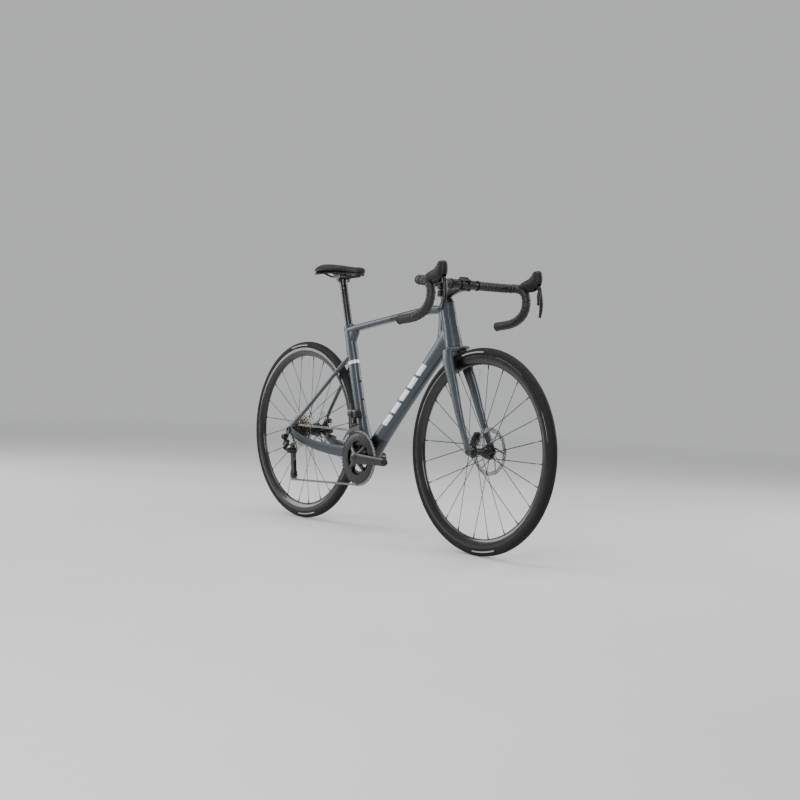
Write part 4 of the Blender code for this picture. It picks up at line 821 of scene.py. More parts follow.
def build_frame(paint, black):
    length = (HEAD_TOP_Z - CROWN_Z) / STEER_UP.z
    head_low = steer(CROWN_Z)
    head = [(steer(CROWN_Z - 0.008), 0.0314, 0.029), (steer(CROWN_Z + 0.0015), 0.0312, 0.0287),
        (steer(CROWN_Z + 0.03), 0.0302, 0.0262), (steer(CROWN_Z + 0.075), 0.0277, 0.0234),
        (steer(HEAD_TOP_Z - 0.02), 0.0264, 0.0228), (steer(HEAD_TOP_Z + 0.006), 0.0264, 0.0228)]
    down = [(BB + Vector((0.01, 0, 0.006)), 0.03, 0.034), ((-0.036, 0, 0.331), 0.0285, 0.029),
        ((0.06, 0, 0.436), 0.0262, 0.0235), ((0.18, 0, 0.567), 0.0265, 0.022),
        ((0.262, 0, 0.656), 0.0285, 0.021), ((0.318, 0, 0.718), 0.033, 0.0205)]
    top = [(seat(0.727, -0.01), 0.011, 0.017), ((-0.19, 0, 0.7375), 0.012, 0.0178),
        ((-0.08, 0, 0.7565), 0.0115, 0.0185), ((0.06, 0, 0.78), 0.0118, 0.019),
        ((0.19, 0, 0.7995), 0.014, 0.0195), ((0.278, 0, 0.806), 0.015, 0.02)]
    seat_tube = [(seat(0.262, 0.006), 0.026, 0.033), (seat(0.33, 0.004), 0.024, 0.025),
        (seat(0.42, 0.0), 0.0225, 0.0185), (seat(0.54, -0.003), 0.0235, 0.0172),
        (seat(0.62, -0.002), 0.024, 0.017), (seat(0.7, 0.0), 0.0215, 0.0172),
        (seat(0.75, 0.001), 0.0245, 0.0172)]
    cluster = mm(((-236, 0, 640), 10, 14), ((-225, 0, 690), 16, 14.5), ((-214, 0, 727), 24, 15))
    web = mm(((292, 0, 700), 30, 16.5), ((290, 0, 745), 25, 16), ((288, 0, 795), 23, 16.5))
    shapes = [loft(head, 60, 48, 2.0, ends=(STEER_UP, STEER_UP)), loft(down, 120, 40, 2.5),
        loft(top, 110, 40, 2.4), loft(seat_tube, 120, 40, 2.4, ends=(None, SEAT_UP)),
        loft(cluster, 30, 32, 2.4), loft(web, 30, 32, 2.4),
        disc(BB, 0.0245, -BB_HALF - 0.004, BB_HALF + 0.004, 48)]
    for s in (1, -1):
        chainstay = [((-0.0995, s * 0.024, 0.269), 0.02, 0.012),
            ((-0.15, s * 0.029, 0.277), 0.0215, 0.0085), ((-0.2, s * 0.032, 0.28), 0.021, 0.0074),
            ((-0.28, s * 0.041, 0.283), 0.019, 0.008), ((-0.36, s * 0.053, 0.292), 0.0165, 0.008),
            ((-0.42, s * 0.064, 0.306), 0.015, 0.0062), ((-0.465, s * 0.0735, 0.324), 0.014, 0.0042),
            ((-0.496, s * 0.0752, 0.339), 0.015, 0.0038)]
        seatstay = [((-0.216, s * 0.006, 0.636), 0.011, 0.0085),
            ((-0.24, s * 0.015, 0.611), 0.0095, 0.0075), ((-0.275, s * 0.0265, 0.574), 0.0085, 0.0057),
            ((-0.35, s * 0.041, 0.497), 0.0078, 0.0054), ((-0.43, s * 0.059, 0.413), 0.0078, 0.0052),
            ((-0.482, s * 0.0745, 0.36), 0.01, 0.004), ((-0.5, s * 0.0752, 0.342), 0.014, 0.0038)]
        shapes.append(loft(chainstay, 110, 28, 2.8))
        shapes.append(loft(seatstay, 110, 28, 2.3))
        low, high = span(s, 0.0714, 0.079)
        shapes.append(disc(REAR_AXLE, 0.0155, low, high, 40))
    shapes.append(bar((-0.452, 0.0645, 0.3235), (-0.388, 0.0636, 0.3145), 0.0056, 0.007))
    shell = melted(shapes, 0.002, 9, 0.0004)
    cutters = [wheel_room(REAR_AXLE, TYRE_RADIUS + 0.006, 0.0195),
        turned([(0, 0), (0.05, 0), (0.05, (CROWN_Z + 0.0005 - 0.56) / STEER_UP.z),
        (0, (CROWN_Z + 0.0005 - 0.56) / STEER_UP.z)], steer(0.56), STEER_UP, 96),
        disc(head_low, 0.0365, -0.02, 0.0012, 64, STEER_UP),
        disc(head_low, 0.0365, length + 0.0001, length + 0.02, 64, STEER_UP),
        disc(head_low, 0.0262, -0.01, 0.01, 48, STEER_UP),
        disc(head_low, 0.02, -0.01, length + 0.01, 48, STEER_UP),
        disc(head_low, 0.0212, length - 0.008, length + 0.01, 48, STEER_UP),
        disc(seat(0.5), 0.0142, 0, 0.3, 48, SEAT_UP), disc(seat(0.7435), 0.04, 0, 0.03, 48, SEAT_UP),
        disc(BB, 0.0206, -0.06, 0.06, 48), disc(REAR_AXLE, 0.0064, -0.09, 0.09, 32)]
    for s in (1, -1):
        low, high = sorted((s * BB_HALF, s * (BB_HALF + 0.03)))
        cutters.append(disc(BB, 0.06, low, high, 48))
        low, high = span(s, 0.03, 0.0716)
        cutters.append(disc(REAR_AXLE, 0.0165, low, high, 48))
    shell = carved(shell, cutters)
    make("frame_shell", [(shell, paint)], "frame", ["frame"], angle=32)

    def bolt(name, centre, axis, radius, height):
        outline = [(0, -0.002), (radius * 0.98, -0.002), (radius, height * 0.55), (radius * 0.8, height),
            (radius * 0.52, height), (radius * 0.48, height * 0.25), (0, height * 0.2)]
        make(name, [(turned(outline, centre, axis, 24), black)], "frame", angle=30)

    for k, z in enumerate((0.405, 0.47, 0.535)):
        bolt(f"seat_tube_bottle_bolt_{k + 1}", seat(z, 0.0205 + 0.0015), SEAT_AHEAD, 0.004, 0.0022)
    for k, along in enumerate((0.095, 0.16, 0.225)):
        foot = DOWN_TUBE_START + DOWN_TUBE_ALONG * along
        bolt(f"down_tube_bottle_bolt_{k + 1}", foot + DOWN_TUBE_ACROSS * 0.0262, DOWN_TUBE_ACROSS, 0.004,
            0.0022)
    collar = mm((14.1, -1.2), (16.2, -1.2), (16.8, 0), (16, 1.6), (14.1, 1.9))
    make("seatpost_seal", [(turned(collar, seat(0.7433), SEAT_UP, 64), black)], "frame", angle=30)
    for s, name in ((-1, "right"), (1, "left")):
        outline = [(0.0124, s * 0.029), (0.0202, s * 0.029), (0.0202, s * (BB_HALF + GAP)),
            (0.0236, s * (BB_HALF + GAP)), (0.024, s * (BB_HALF + 0.0007)), (0.024, s * (BB_HALF + 0.0014)),
            (0.0234, s * (BB_HALF + 0.002)), (0.0185, s * (BB_HALF + 0.002)),
            (0.018, s * (BB_HALF + 0.0014)), (0.015, s * (BB_HALF + 0.0014)),
            (0.0146, s * (BB_HALF + 0.002)), (0.0124, s * (BB_HALF + 0.002))]
        make("bottom_bracket_cup_" + name, [(turned(outline, BB, LEFT, 64), black)], "frame",
            ["bb_cup_" + name])
    top_point = steer(HEAD_TOP_Z + 0.0004)
    outline = mm((14.8, 0), (24.3, 0), (24.7, 0.6), (24.7, 2.6), (24, 4), (22.2, 8.5), (21, 9.8),
        (20.4, 10.2), (20.6, 10.6), (20.6, 13.1), (20.2, 13.5), (14.8, 13.5))
    make("headset_top_cover", [(turned(outline, top_point, STEER_UP, 72), black)], "fork_and_bars",
        ["headset_cover"])


def build_fork(paint, black):
    crown_low = steer(0.64)
    top = (CROWN_Z - 0.64) / STEER_UP.z
    shapes = [loft([(crown_low, 0.024, 0.04), (crown_low + STEER_UP * (top * 0.5), 0.029, 0.036),
        (crown_low + STEER_UP * top, 0.031, 0.0286), (crown_low + STEER_UP * (top + 0.008), 0.0312, 0.028)],
        40, 48, 2.0, ends=(STEER_UP, STEER_UP))]
    visor = []
    for degrees, deep, wide in ((118, 0.0092, 0.03), (111, 0.0077, 0.0245), (105.5, 0.0045, 0.019)):
        turn = math.radians(degrees)
        reach = TYRE_RADIUS + 0.0125
        visor.append((FRONT_AXLE + polar(reach, turn), deep, wide))
    shapes.append(loft(visor, 24, 32, 2.4))
    for s in (1, -1):
        out = 0.0085 if s > 0 else 0.0
        leg = [(steer(0.666, -0.001, s * 0.024), 0.0265, 0.018),
            (steer(0.635, 0.0, s * (0.0345 + out * 0.3)), 0.0235, 0.012),
            ((0.396, s * (0.04 + out), 0.55), 0.02, 0.0097),
            ((0.43, s * (0.044 + out), 0.47), 0.0165, 0.0082),
            ((0.466, s * (0.049 + out * 0.6), 0.398), 0.0135, 0.0064),
            ((0.493, s * 0.0548, 0.352), 0.012, 0.0047), ((0.499, s * 0.0548, 0.34), 0.012, 0.0044)]
        shapes.append(loft(leg, 110, 32, 2.4))
        low, high = span(s, 0.0506, 0.059)
        shapes.append(disc(FRONT_AXLE, 0.0125, low, high, 40))
    shell = melted(shapes, 0.0019, 9, 0.0004)
    cutters = [wheel_room(FRONT_AXLE, TYRE_RADIUS + 0.006, 0.02),
        disc(steer(CROWN_Z), 0.06, 0.0, 0.03, 64, STEER_UP), disc(FRONT_AXLE, 0.0064, -0.09, 0.09, 32),
        disc(FRONT_AXLE, 0.0137, -0.0505, 0.0505, 40)]
    shell = carved(shell, cutters)
    make("fork_shell", [(shell, paint)], "fork_and_bars", ["fork"], angle=32)
    steerer = turned(mm((0, 2), (19, 2), (19, 24), (14.3, 42), (14.3, 209), (0, 209)),
        steer(CROWN_Z - 0.002), STEER_UP, 48)
    make("steerer_tube", [(steerer, black)], "fork_and_bars")


# Stem, bar and levers


def tube_radius(y):
    t = min(max((abs(y) - 0.035) / 0.05, 0), 1)
    t = t * t * (3 - 2 * t)
    return BAR_CLAMP_RADIUS + (BAR_RADIUS - BAR_CLAMP_RADIUS) * t


def bar_route(s):
    x, z = BAR_CENTRE.x, BAR_CENTRE.z
    w = BAR_HALF_WIDTH
    points = [(x, 0.03, z), (x, 0.056, z), (x, 0.1, z), (x, 0.168, z + 0.0005),
        (x + 0.002, w - 0.02, z + 0.0008), (x + 0.012, w - 0.004, z + 0.001),
        (x + 0.032, w + 0.001, z + 0.0008), (x + 0.062, w + 0.001, z - 0.007),
        (x + 0.076, w + 0.001, z - 0.021), (x + 0.082, w + 0.002, z - 0.042),
        (x + 0.079, w + 0.003, z - 0.066), (x + 0.066, w + 0.004, z - 0.089),
        (x + 0.04, w + 0.005, z - 0.108), (x + 0.006, w + 0.0062, z - 0.12),
        (x - 0.06, w + 0.008, z - 0.129)]
    return [Vector((px, s * py, pz)) for px, py, pz in points]


def build_cockpit(alloy, steel, tape, plastic):
    grip = steer((STEM_LOW_Z + STEM_HIGH_Z) / 2)
    ahead = (BAR_CENTRE - grip).normalized()
    rise = ahead.cross(LEFT)
    high = (STEM_HIGH_Z - STEM_LOW_Z) / STEER_UP.z / 2
    body = loft([(grip + ahead * 0.002, 0.0185, 0.0172), (grip + ahead * 0.02, 0.017, 0.016),
        (grip.lerp(BAR_CENTRE, 0.55), 0.016, 0.0152), (BAR_CENTRE - ahead * 0.022, 0.0175, 0.018),
        (BAR_CENTRE - ahead * 0.012, 0.019, 0.0202)], 30, 40, 2.8)
    clamp = disc(grip, 0.019, -high, high, 64, STEER_UP, 0.0012)
    holder = disc(BAR_CENTRE, 0.0205, -0.021, 0.021, 64, LEFT, 0.001)
    stem = melted([body, clamp, holder], 0.001, 6, 0.0002)
    cutters = [bar(BAR_CENTRE + ahead * 0.0006, BAR_CENTRE + ahead * 0.04, 0.03, 0.04),
        disc(BAR_CENTRE, BAR_CLAMP_RADIUS + 0.0004, -0.05, 0.05, 64),
        disc(grip, 0.0146, -0.05, 0.05, 48, STEER_UP),
        bar(grip - ahead * 0.0145, grip - ahead * 0.03, 0.0007, 0.03, STEER_UP)]
    make("stem_body", [(carved(stem, cutters), alloy)], "fork_and_bars", ["stem"], angle=30)
    shell = disc(BAR_CENTRE, 0.0203, -0.0205, 0.0205, 72, LEFT, 0.0012)
    window = bar(BAR_CENTRE, BAR_CENTRE + ahead * 0.03, 0.0092, 0.007, rise)
    ears = [bar(BAR_CENTRE + rise * (0.0195 * s) + ahead * 0.001,
        BAR_CENTRE + rise * (0.0195 * s) + ahead * 0.008, 0.018, 0.0045, rise) for s in (1, -1)]
    back = bar(BAR_CENTRE - ahead * 0.04, BAR_CENTRE + ahead * 0.0012, 0.03, 0.04)
    plate_shape = carved(shell, [back, disc(BAR_CENTRE, BAR_CLAMP_RADIUS + 0.0004, -0.05, 0.05, 72),
        window], ears)
    make("stem_faceplate_cover", [(plate_shape, alloy)], "fork_and_bars", ["stem_faceplate"],
        0.0006)
    bolts = []
    for s in (1, -1):
        for side in (1, -1):
            foot = BAR_CENTRE + rise * (0.0195 * s) + LEFT * (0.0125 * side) + ahead * 0.0074
            bolts.append(bolt_head(foot, ahead, 0.0036, 0.003))
        foot = grip - STEER_UP * (0.0105 * s) + LEFT * 0.0185 - STEER_AHEAD * 0.012
        bolts.append(bolt_head(foot - LEFT * 0.0016, LEFT, 0.0034, 0.0026))
    make("stem_bolts", [(merged(bolts), steel)], "fork_and_bars", angle=30)
    cap = steer(STEM_HIGH_Z + GAP)
    outline = mm((0, 0), (17.2, 0), (17.6, 0.6), (17.2, 2.4), (15, 3.4), (6.2, 4), (5.8, 3.2), (3.4, 3.2),
        (3.1, 1.4), (0, 1.4))
    make("stem_cap", [(turned(outline, cap, STEER_UP, 64), alloy)], "fork_and_bars", ["stem_top_cap"])
    halves = []
    for s in (-1, 1):
        dense = [Vector(p) for p in flow([list(p) for p in bar_route(s)], 150)]
        halves.append(tube_rings(dense, [tube_radius(p.y) for p in dense], 32))
    right, left = halves
    rings = [r[:1] + r[:0:-1] for r in right[::-1]] + left
    make("handlebar_tube", [(skin(rings), alloy)], "fork_and_bars", ["handlebar"])
    for s, name in ((1, "left"), (-1, "right")):
        route = bar_route(s)[1:]
        length = sum((b - a).length for a, b in zip(route, route[1:]))
        count = int(length / 0.0011)
        dense = [Vector(p) for p in flow([list(p) for p in route], count)]
        step = length / count
        radii = [max(tube_radius(p.y) + 0.002, TAPE_RADIUS - 0.0002) for p in dense]
        radii[0] -= 0.0006
        radii[1] -= 0.0002

        def wrap(i, turn, s=s):
            phase = (i * step / 0.0165 - s * turn / (2 * math.pi)) % 1.0
            ramp_up = min(phase / 0.9, 1.0)
            if phase > 0.9:
                ramp_up = 1.0 - (phase - 0.9) / 0.1
            return 0.0016 * ramp_up - 0.0007

        shape = skin(tube_rings(dense, radii, 40, UP, wrap))
        make("bar_tape_wrap_" + name, [(shape, tape)], "fork_and_bars", ["bar_tape_" + name],
            angle=60)
        band = dense[:: max(1, count // 200)][:7]
        finish = pipe(band, [tube_radius(p.y) + 0.0032 for p in band], 40)
        make("tape_finish_" + name, [(finish, plastic)], "fork_and_bars")
        end = dense[-1]
        along = (dense[-1] - dense[-3]).normalized()
        outline = [(0, GAP), (0.0152, GAP), (0.016, 0.0012), (0.0158, 0.0024), (0.013, 0.004),
            (0.006, 0.0049), (0, 0.005)]
        make("bar_end_plug_" + name, [(turned(outline, end, along, 48), plastic)], "fork_and_bars",
            ["bar_plug_" + name])


def bolt_head(foot, axis, radius, height):
    """A socket-head bolt: chamfered rim and a six-sided recess stood for by a dished one."""
    outline = [(0, -0.001), (radius, -0.001), (radius, height * 0.75), (radius * 0.88, height),
        (radius * 0.55, height), (radius * 0.5, height * 0.35), (0, height * 0.3)]
    return turned(outline, foot, axis, 24)


def build_controls(rubber, alloy, plastic, steel):
    for s, name in ((1, "left"), (-1, "right")):
        y = s * 0.211
        grip = [((0.427, y, 0.889), 0.008, 0.0115), ((0.446, y, 0.893), 0.0155, 0.0152),
            ((0.466, y, 0.8985), 0.018, 0.016), ((0.486, y, 0.9035), 0.0215, 0.0162),
            ((0.499, y, 0.911), 0.026, 0.016), ((0.505, y, 0.922), 0.0215, 0.0155),
            ((0.505, y, 0.936), 0.018, 0.014), ((0.5035, y, 0.944), 0.0115, 0.0095)]
        chin = [((0.47, y, 0.886), 0.012, 0.011), ((0.492, y, 0.889), 0.012, 0.011),
            ((0.509, y, 0.898), 0.0095, 0.01)]
        body = melted([loft(grip, 60, 40, 2.3), loft(chin, 24, 32, 2.4)], 0.0011, 10, 0.0003)
        pivot = Vector((0.503, y, 0.893))
        pocket = bar(pivot + Vector((-0.01, 0, -0.0095)), pivot + Vector((0.03, 0, -0.0095)), 0.0075, 0.019)
        body = carved(body, [pocket])
        make("lever_hood_" + name, [(body, rubber)], "fork_and_bars", ["hood_" + name],
            angle=40)
        blade = [((0.499, y, 0.896), 0.005, 0.006), ((0.516, y, 0.89), 0.007, 0.0065),
            ((0.525, y + s * 0.001, 0.87), 0.0065, 0.0065), ((0.529, y + s * 0.002, 0.845), 0.0055, 0.006),
            ((0.528, y + s * 0.004, 0.815), 0.0048, 0.0058),
            ((0.5225, y + s * 0.006, 0.79), 0.0038, 0.0048)]
        lever = "brake_lever_" + name
        shape = loft(blade, 60, 28, 2.8)
        carrier = plate(mm((508.5, 873.5), (520, 874.5), (522.8, 850), (522.8, 833), (510.5, 833),
            (508.5, 850)), *sorted((y + s * 0.003, y + s * 0.0068)))
        make("lever_blade_" + name, [(shape, alloy), (carrier, alloy)], lever, [lever],
            angle=40)
        pin = disc(pivot, 0.0024, -0.0088, 0.0088, 24, LEFT, 0.0004)
        make("lever_pivot_pin_" + name, [(pin, steel)], lever)
        for k, which in enumerate(("upper", "lower")):
            top = 0.876 - 0.024 * k
            front = 0.515 + 0.002 * k
            outline = [(front - 0.013, top - 0.002), (front - 0.011, top), (front - 0.002, top - 0.0006),
                (front + 0.0004, top - 0.003), (front + 0.0015, top - 0.019), (front - 0.001, top - 0.021),
                (front - 0.012, top - 0.021), (front - 0.0142, top - 0.0185)]
            middle = y + s * 0.0105
            low, high = sorted((middle - s * 0.0018, middle + s * 0.0012))
            button = f"shift_button_{which}_{name}"
            ridges = [bar((front - 0.0105, high if s > 0 else low, top - 0.005 - 0.003 * r),
                (front - 0.0015, high if s > 0 else low, top - 0.0054 - 0.003 * r), 0.0004,
                0.0004) for r in range(5)]
            parts = [(plate(outline, low, high), plastic), (merged(ridges), plastic)]
            make(f"shift_paddle_{which}_{name}", parts, button, [button], 0.0004)


# Wheels


# The hubs' outlines: radius, then distance to the left, in millimetres
FRONT_HUB = mm((9.3, 49.7), (9.5, 49.4), (11, 45), (17.4, 38.4), (17.4, 33), (15, 29), (15.2, 26.2),
    (21.5, 24.3), (21.5, 20.7), (16, 19), (12.2, 13), (11.5, 6), (11.5, -20), (12.4, -26), (15, -31),
    (20, -32.2), (20, -35.8), (15, -37.6), (11.8, -42.5), (11, -45), (9.5, -49.4), (9.3, -49.7))
REAR_HUB = mm((9.3, 70.7), (9.5, 70.4), (11, 61), (17.4, 54.4), (17.4, 43), (15.5, 39), (16, 36.6),
    (22.5, 34.8), (22.5, 31.2), (17.5, 29.4), (14.2, 23), (13.5, 16), (13.5, -8), (16, -13),
    (24, -14.7), (24, -18.3), (15, -19.6), (11.8, -20.5), (11.8, -66), (10.5, -67), (9.5, -70.4),
    (9.3, -70.7))


def build_wheel(end, axle, wheel_turn, flanges, rotor_y, hub_rows, looks):
    body = end + "_wheel"
    tyre_look, rim_look, alloy, steel, rotor_look, valve_look = looks
    middle = TYRE_RADIUS - TYRE_HALF
    outline = []
    for k in range(57):
        turn = math.radians(-130 + 260 * k / 56)
        reach = TYRE_HALF - (0.00045 if abs(turn) > math.radians(62) else 0.0)
        outline.append((middle + reach * math.cos(turn), reach * math.sin(turn)))
    outline += [(RIM_OUTER - 0.004, 0.0096), (TYRE_RADIUS - 0.008, 0.006), (TYRE_RADIUS - 0.008, -0.006),
        (RIM_OUTER - 0.004, -0.0096)]
    make(end + "_tyre_casing", [(turned(outline, axle, LEFT, 180), tyre_look)], body, [end + "_tyre"],
        angle=24)
    side = flow(mm((284, 0, 0), (284.6, 3.4, 0), (287, 6.8, 0), (293.5, 10.5, 0), (303, 12.9, 0),
        (311.5, 13.5, 0), (316, 13.2, 0), (317.2, 12.2, 0)), 28)
    half = [(r, y) for r, y, _ in side] + [(0.3168, 0.0113), (0.3125, 0.0104)]
    outline = [(r, -y) for r, y in half[:0:-1]] + half
    make(end + "_rim_hoop", [(turned(outline, axle, LEFT, 200), rim_look)], body, [end + "_rim"],
        angle=28)
    up = clock(1, wheel_turn)
    valve = mm((0, 234.5), (1.1, 234.5), (1.3, 235.2), (2.4, 235.6), (2.7, 236.4), (2.7, 240), (2.2, 240.6),
        (2.2, 242), (2.9, 242.4), (2.9, 277), (3.1, 277.5), (4.8, 280), (5, 280.6), (5, 283.4), (4.7, 284),
        (0, 284))
    make(end + "_valve", [(turned(valve, axle, up, 24), valve_look)], body)
    wires, nipples, heads = [], [], []
    step = 2 * math.pi / SPOKES_PER_SIDE
    turns = [2 * math.pi * q / 8 for q in range(8)]
    for s, (flange_y, flange_radius), phase in zip((1, -1), flanges, (step / 4, -step / 4)):
        for k in range(SPOKES_PER_SIDE):
            leading = 1 if k % 2 == 0 else -1
            hub_turn = step * k + phase + wheel_turn
            rim_turn = hub_turn + leading * 2 * step
            bend = s * leading * 0.0022
            hole = axle + clock(flange_radius - 0.0026, hub_turn, flange_y)
            out = axle + clock(flange_radius + 0.001, hub_turn, flange_y + bend)
            tip = axle + clock(0.283, rim_turn, s * 0.002)
            along = (tip - out).normalized()
            mids = [out + along * d for d in (0.004, 0.012, 0.02)]
            far = [tip - along * d for d in (0.036, 0.028, 0.014)]
            elbow = hole + LEFT * bend
            start = hole - LEFT * (s * leading * 0.002)
            path = [start, elbow, out.lerp(elbow, 0.3), out] + mids + far + [tip]
            wide = [0.001] * 6 + [0.0015] * 2 + [0.001] * 3
            thin = [0.001] * 6 + [0.0005] * 2 + [0.001] * 3
            rings = []
            for i, centre in enumerate(path):
                run = (path[min(i + 1, len(path) - 1)] - path[max(i - 1, 0)]).normalized()
                base = LEFT if abs(run.y) < 0.8 else FORWARD
                across = (base - run * base.dot(run)).normalized()
                over = run.cross(across)
                rings.append([centre + across * (math.cos(a) * thin[i]) + over * (math.sin(a) * wide[i])
                    for a in turns])
            wires.append(skin(rings))
            nipple = mm((0, -12.5), (1.3, -12.5), (1.9, -11.8), (2.1, -4), (2.1, 1.6), (0, 1.6))
            nipples.append(turned(nipple, tip, along, 10))
            heads.append(turned(mm((0, 0), (1.9, 0), (1.6, 0.9), (0, 1.2)), path[0], LEFT * (-s * leading),
                12))
    make(end + "_spoke_set", [(merged(wires + heads), steel), (merged(nipples), alloy)], body,
        [end + "_spokes"], angle=50)
    outline = [(0.0063, hub_rows[0][1])] + hub_rows + [(0.0063, hub_rows[-1][1])]
    make(end + "_hub_shell", [(turned(outline, axle, LEFT, 72), alloy)], body, [end + "_hub"],
        0.0004)
    build_rotor(end, axle, rotor_y, body, rotor_look, alloy)


def build_rotor(end, axle, y, body, steel, alloy):
    half, count = 0.0009, 360
    rim_out, rim_in = [], []
    for k in range(count):
        turn = 2 * math.pi * k / count
        outer = ROTOR_RADIUS - 0.0006 + 0.0006 * math.cos(turn * 12)
        inner = 0.0655 + 0.0012 * math.cos(turn * 12 + 1.2)
        rim_out.append(axle + clock(outer, turn))
        rim_in.append(axle + clock(inner, turn))
    braking = flat_band(rim_out, rim_in, y, half)
    holes = []
    for k in range(24):
        for r, shift, size in ((0.077, 0.0, 0.0017), (0.0728, 0.1, 0.0021), (0.0688, 0.2, 0.0017)):
            turn = 2 * math.pi * k / 24 + shift
            holes.append(disc(axle + clock(r, turn, y), size, -0.003, 0.003, 12))
    braking = carved(braking, [merged(holes)])
    arms = []
    for k in range(6):
        turn = 2 * math.pi * k / 6
        path = []
        for t in range(9):
            u = t / 8
            r = 0.025 + (0.067 - 0.025) * u
            a = turn + math.radians(30) * u + 0.1 * math.sin(math.pi * u)
            path.append(axle + clock(r, a, y))
        rings = []
        for i, centre in enumerate(path):
            run = (path[min(i + 1, 8)] - path[max(i - 1, 0)]).normalized()
            over = run.cross(LEFT)
            w = 0.0034 - 0.0012 * math.sin(math.pi * i / 8)
            corners = ((1, 1), (1, -1), (-1, -1), (-1, 1))
            rings.append([centre + over * (w * a) + LEFT * (half * 0.9 * b) for a, b in corners])
        arms.append(skin(rings))
    carrier = ring(axle, 0.0186, 0.0272, y - half - 0.0007, y + half + 0.0007, 72)
    lock = turned([(0.0112, y + 0.0018), (0.018, y + 0.0018), (0.0184, y + 0.0022), (0.0184, y + 0.0034),
        (0.0176, y + 0.004), (0.0112, y + 0.004)], axle, LEFT, 48)
    rivets = []
    for k in range(6):
        a = 2 * math.pi * k / 6
        foot = axle + clock(0.0252, a, y)
        rivets.append(disc(foot, 0.0019, -half - 0.0012, half + 0.0012, 16, LEFT, 0.0003))
    parts = [(braking, steel), (merged(arms), steel), (carrier, alloy), (lock, alloy),
        (merged(rivets), steel)]
    make(end + "_brake_rotor", parts, body, [end + "_rotor"], angle=30)


def build_axles(alloy):
    for end, axle, half in (("front", FRONT_AXLE, 0.0592), ("rear", REAR_AXLE, 0.0792)):
        outline = [(0, -half), (0.0052, -half), (0.006, -half + 0.0008), (0.006, half + GAP),
            (0.01, half + GAP), (0.0101, half + 0.001), (0.0092, half + 0.0036), (0.0084, half + 0.004),
            (0.004, half + 0.004), (0.0036, half + 0.001), (0, half + 0.0008)]
        node = end + "_thru_axle"
        owner = next(b for b, nodes in BODY_NODES.items() if node in nodes)
        make(end + "_axle_bolt", [(turned(outline, axle, LEFT, 48), alloy)], owner, [node],
            angle=30)


def build_caliper(end, axle, degrees, rotor_y, look, steel, body):
    turn = math.radians(degrees)
    outward = polar(1, turn)
    along = outward.cross(LEFT)
    centre = axle + outward * 0.078 + LEFT * rotor_y
    rows = [(centre - along * 0.029, 0.006, 0.0085), (centre - along * 0.0262, 0.0085, 0.0118),
        (centre - along * 0.018, 0.0105, 0.0136), (centre, 0.011, 0.014),
        (centre + along * 0.018, 0.0105, 0.0136), (centre + along * 0.0262, 0.0085, 0.0118),
        (centre + along * 0.029, 0.006, 0.0085)]
    block = loft(rows, 48, 40, 4.0)
    cutters = [disc(axle, ROTOR_RADIUS + 0.0015, rotor_y - 0.0022, rotor_y + 0.0022, 128)]
    for s in (1, -1):
        foot = centre + along * (0.0205 * s) + LEFT * 0.0135
        cutters.append(disc(foot, 0.0048, -0.0035, 0.006, 24, LEFT))
    body_shape = carved(block, cutters)
    details = []
    for s in (1, -1):
        foot = centre + along * (0.0205 * s) + LEFT * 0.0108
        details.append(bolt_head(foot, LEFT, 0.004, 0.0022))
    cap = mm((0, 0), (8.8, 0), (8.8, 0.8), (8, 1.2), (3.6, 1.2), (3.3, 0.4), (0, 0.4))
    piston = turned(cap, centre + LEFT * 0.0136, LEFT, 40)
    fins = []
    for k in range(5):
        foot = centre + along * (0.0032 * (k - 2)) + outward * 0.01
        for s in (1, -1):
            fins.append(bar(foot + LEFT * (0.0024 * s), foot + LEFT * (0.0098 * s), 0.0009, 0.0024,
                outward))
    bleed = bolt_head(centre - along * 0.009 + outward * 0.0106, outward, 0.0024, 0.003)
    parts = [(body_shape, look), (piston, look), (merged(details + [bleed]), steel), (merged(fins), steel)]
    make(end + "_caliper_body", parts, body, [end + "_brake_caliper"], angle=32)


# Drivetrain


def gear(centre, teeth, y, half, inner, phase, tip=0.003, seat_radius=0.004):
    """A toothed ring: a roller seat at phase and at each tooth step from it."""
    pr = pitch_radius(teeth)
    step = 2 * math.pi / teeth
    outer, inside = [], []
    for k in range(teeth):
        mid = phase + step * k
        out = polar(1, mid)
        side = Vector((-math.sin(mid), 0, math.cos(mid)))
        for a in (-60, -30, 0, 30, 60):
            t = math.radians(a)
            reach = pr - seat_radius * math.cos(t)
            outer.append(centre + out * reach + side * (seat_radius * math.sin(t)))
        for a in (0.44, 0.56):
            t = mid + step * a
            outer.append(centre + polar(1, t) * (pr + tip))
    for p in outer:
        flat = (p - centre).normalized()
        inside.append(centre + flat * inner)
    return flat_band(outer, inside, y, half)


def arc_points(centre, radius, start, end, y, step_degrees=1.0):
    count = max(2, round(abs(end - start) / step_degrees))
    found = []
    for k in range(count + 1):
        turn = math.radians(start + (end - start) * k / count)
        found.append(Vector((centre.x + radius * math.cos(turn), y, centre.z + radius * math.sin(turn))))
    return found


def tangent(first, first_radius, second, second_radius, side):
    dx, dz = second.x - first.x, second.z - first.z
    heading = math.atan2(dz, dx)
    lean = math.acos((first_radius - second_radius) / math.hypot(dx, dz))
    return math.degrees(heading + side * lean)


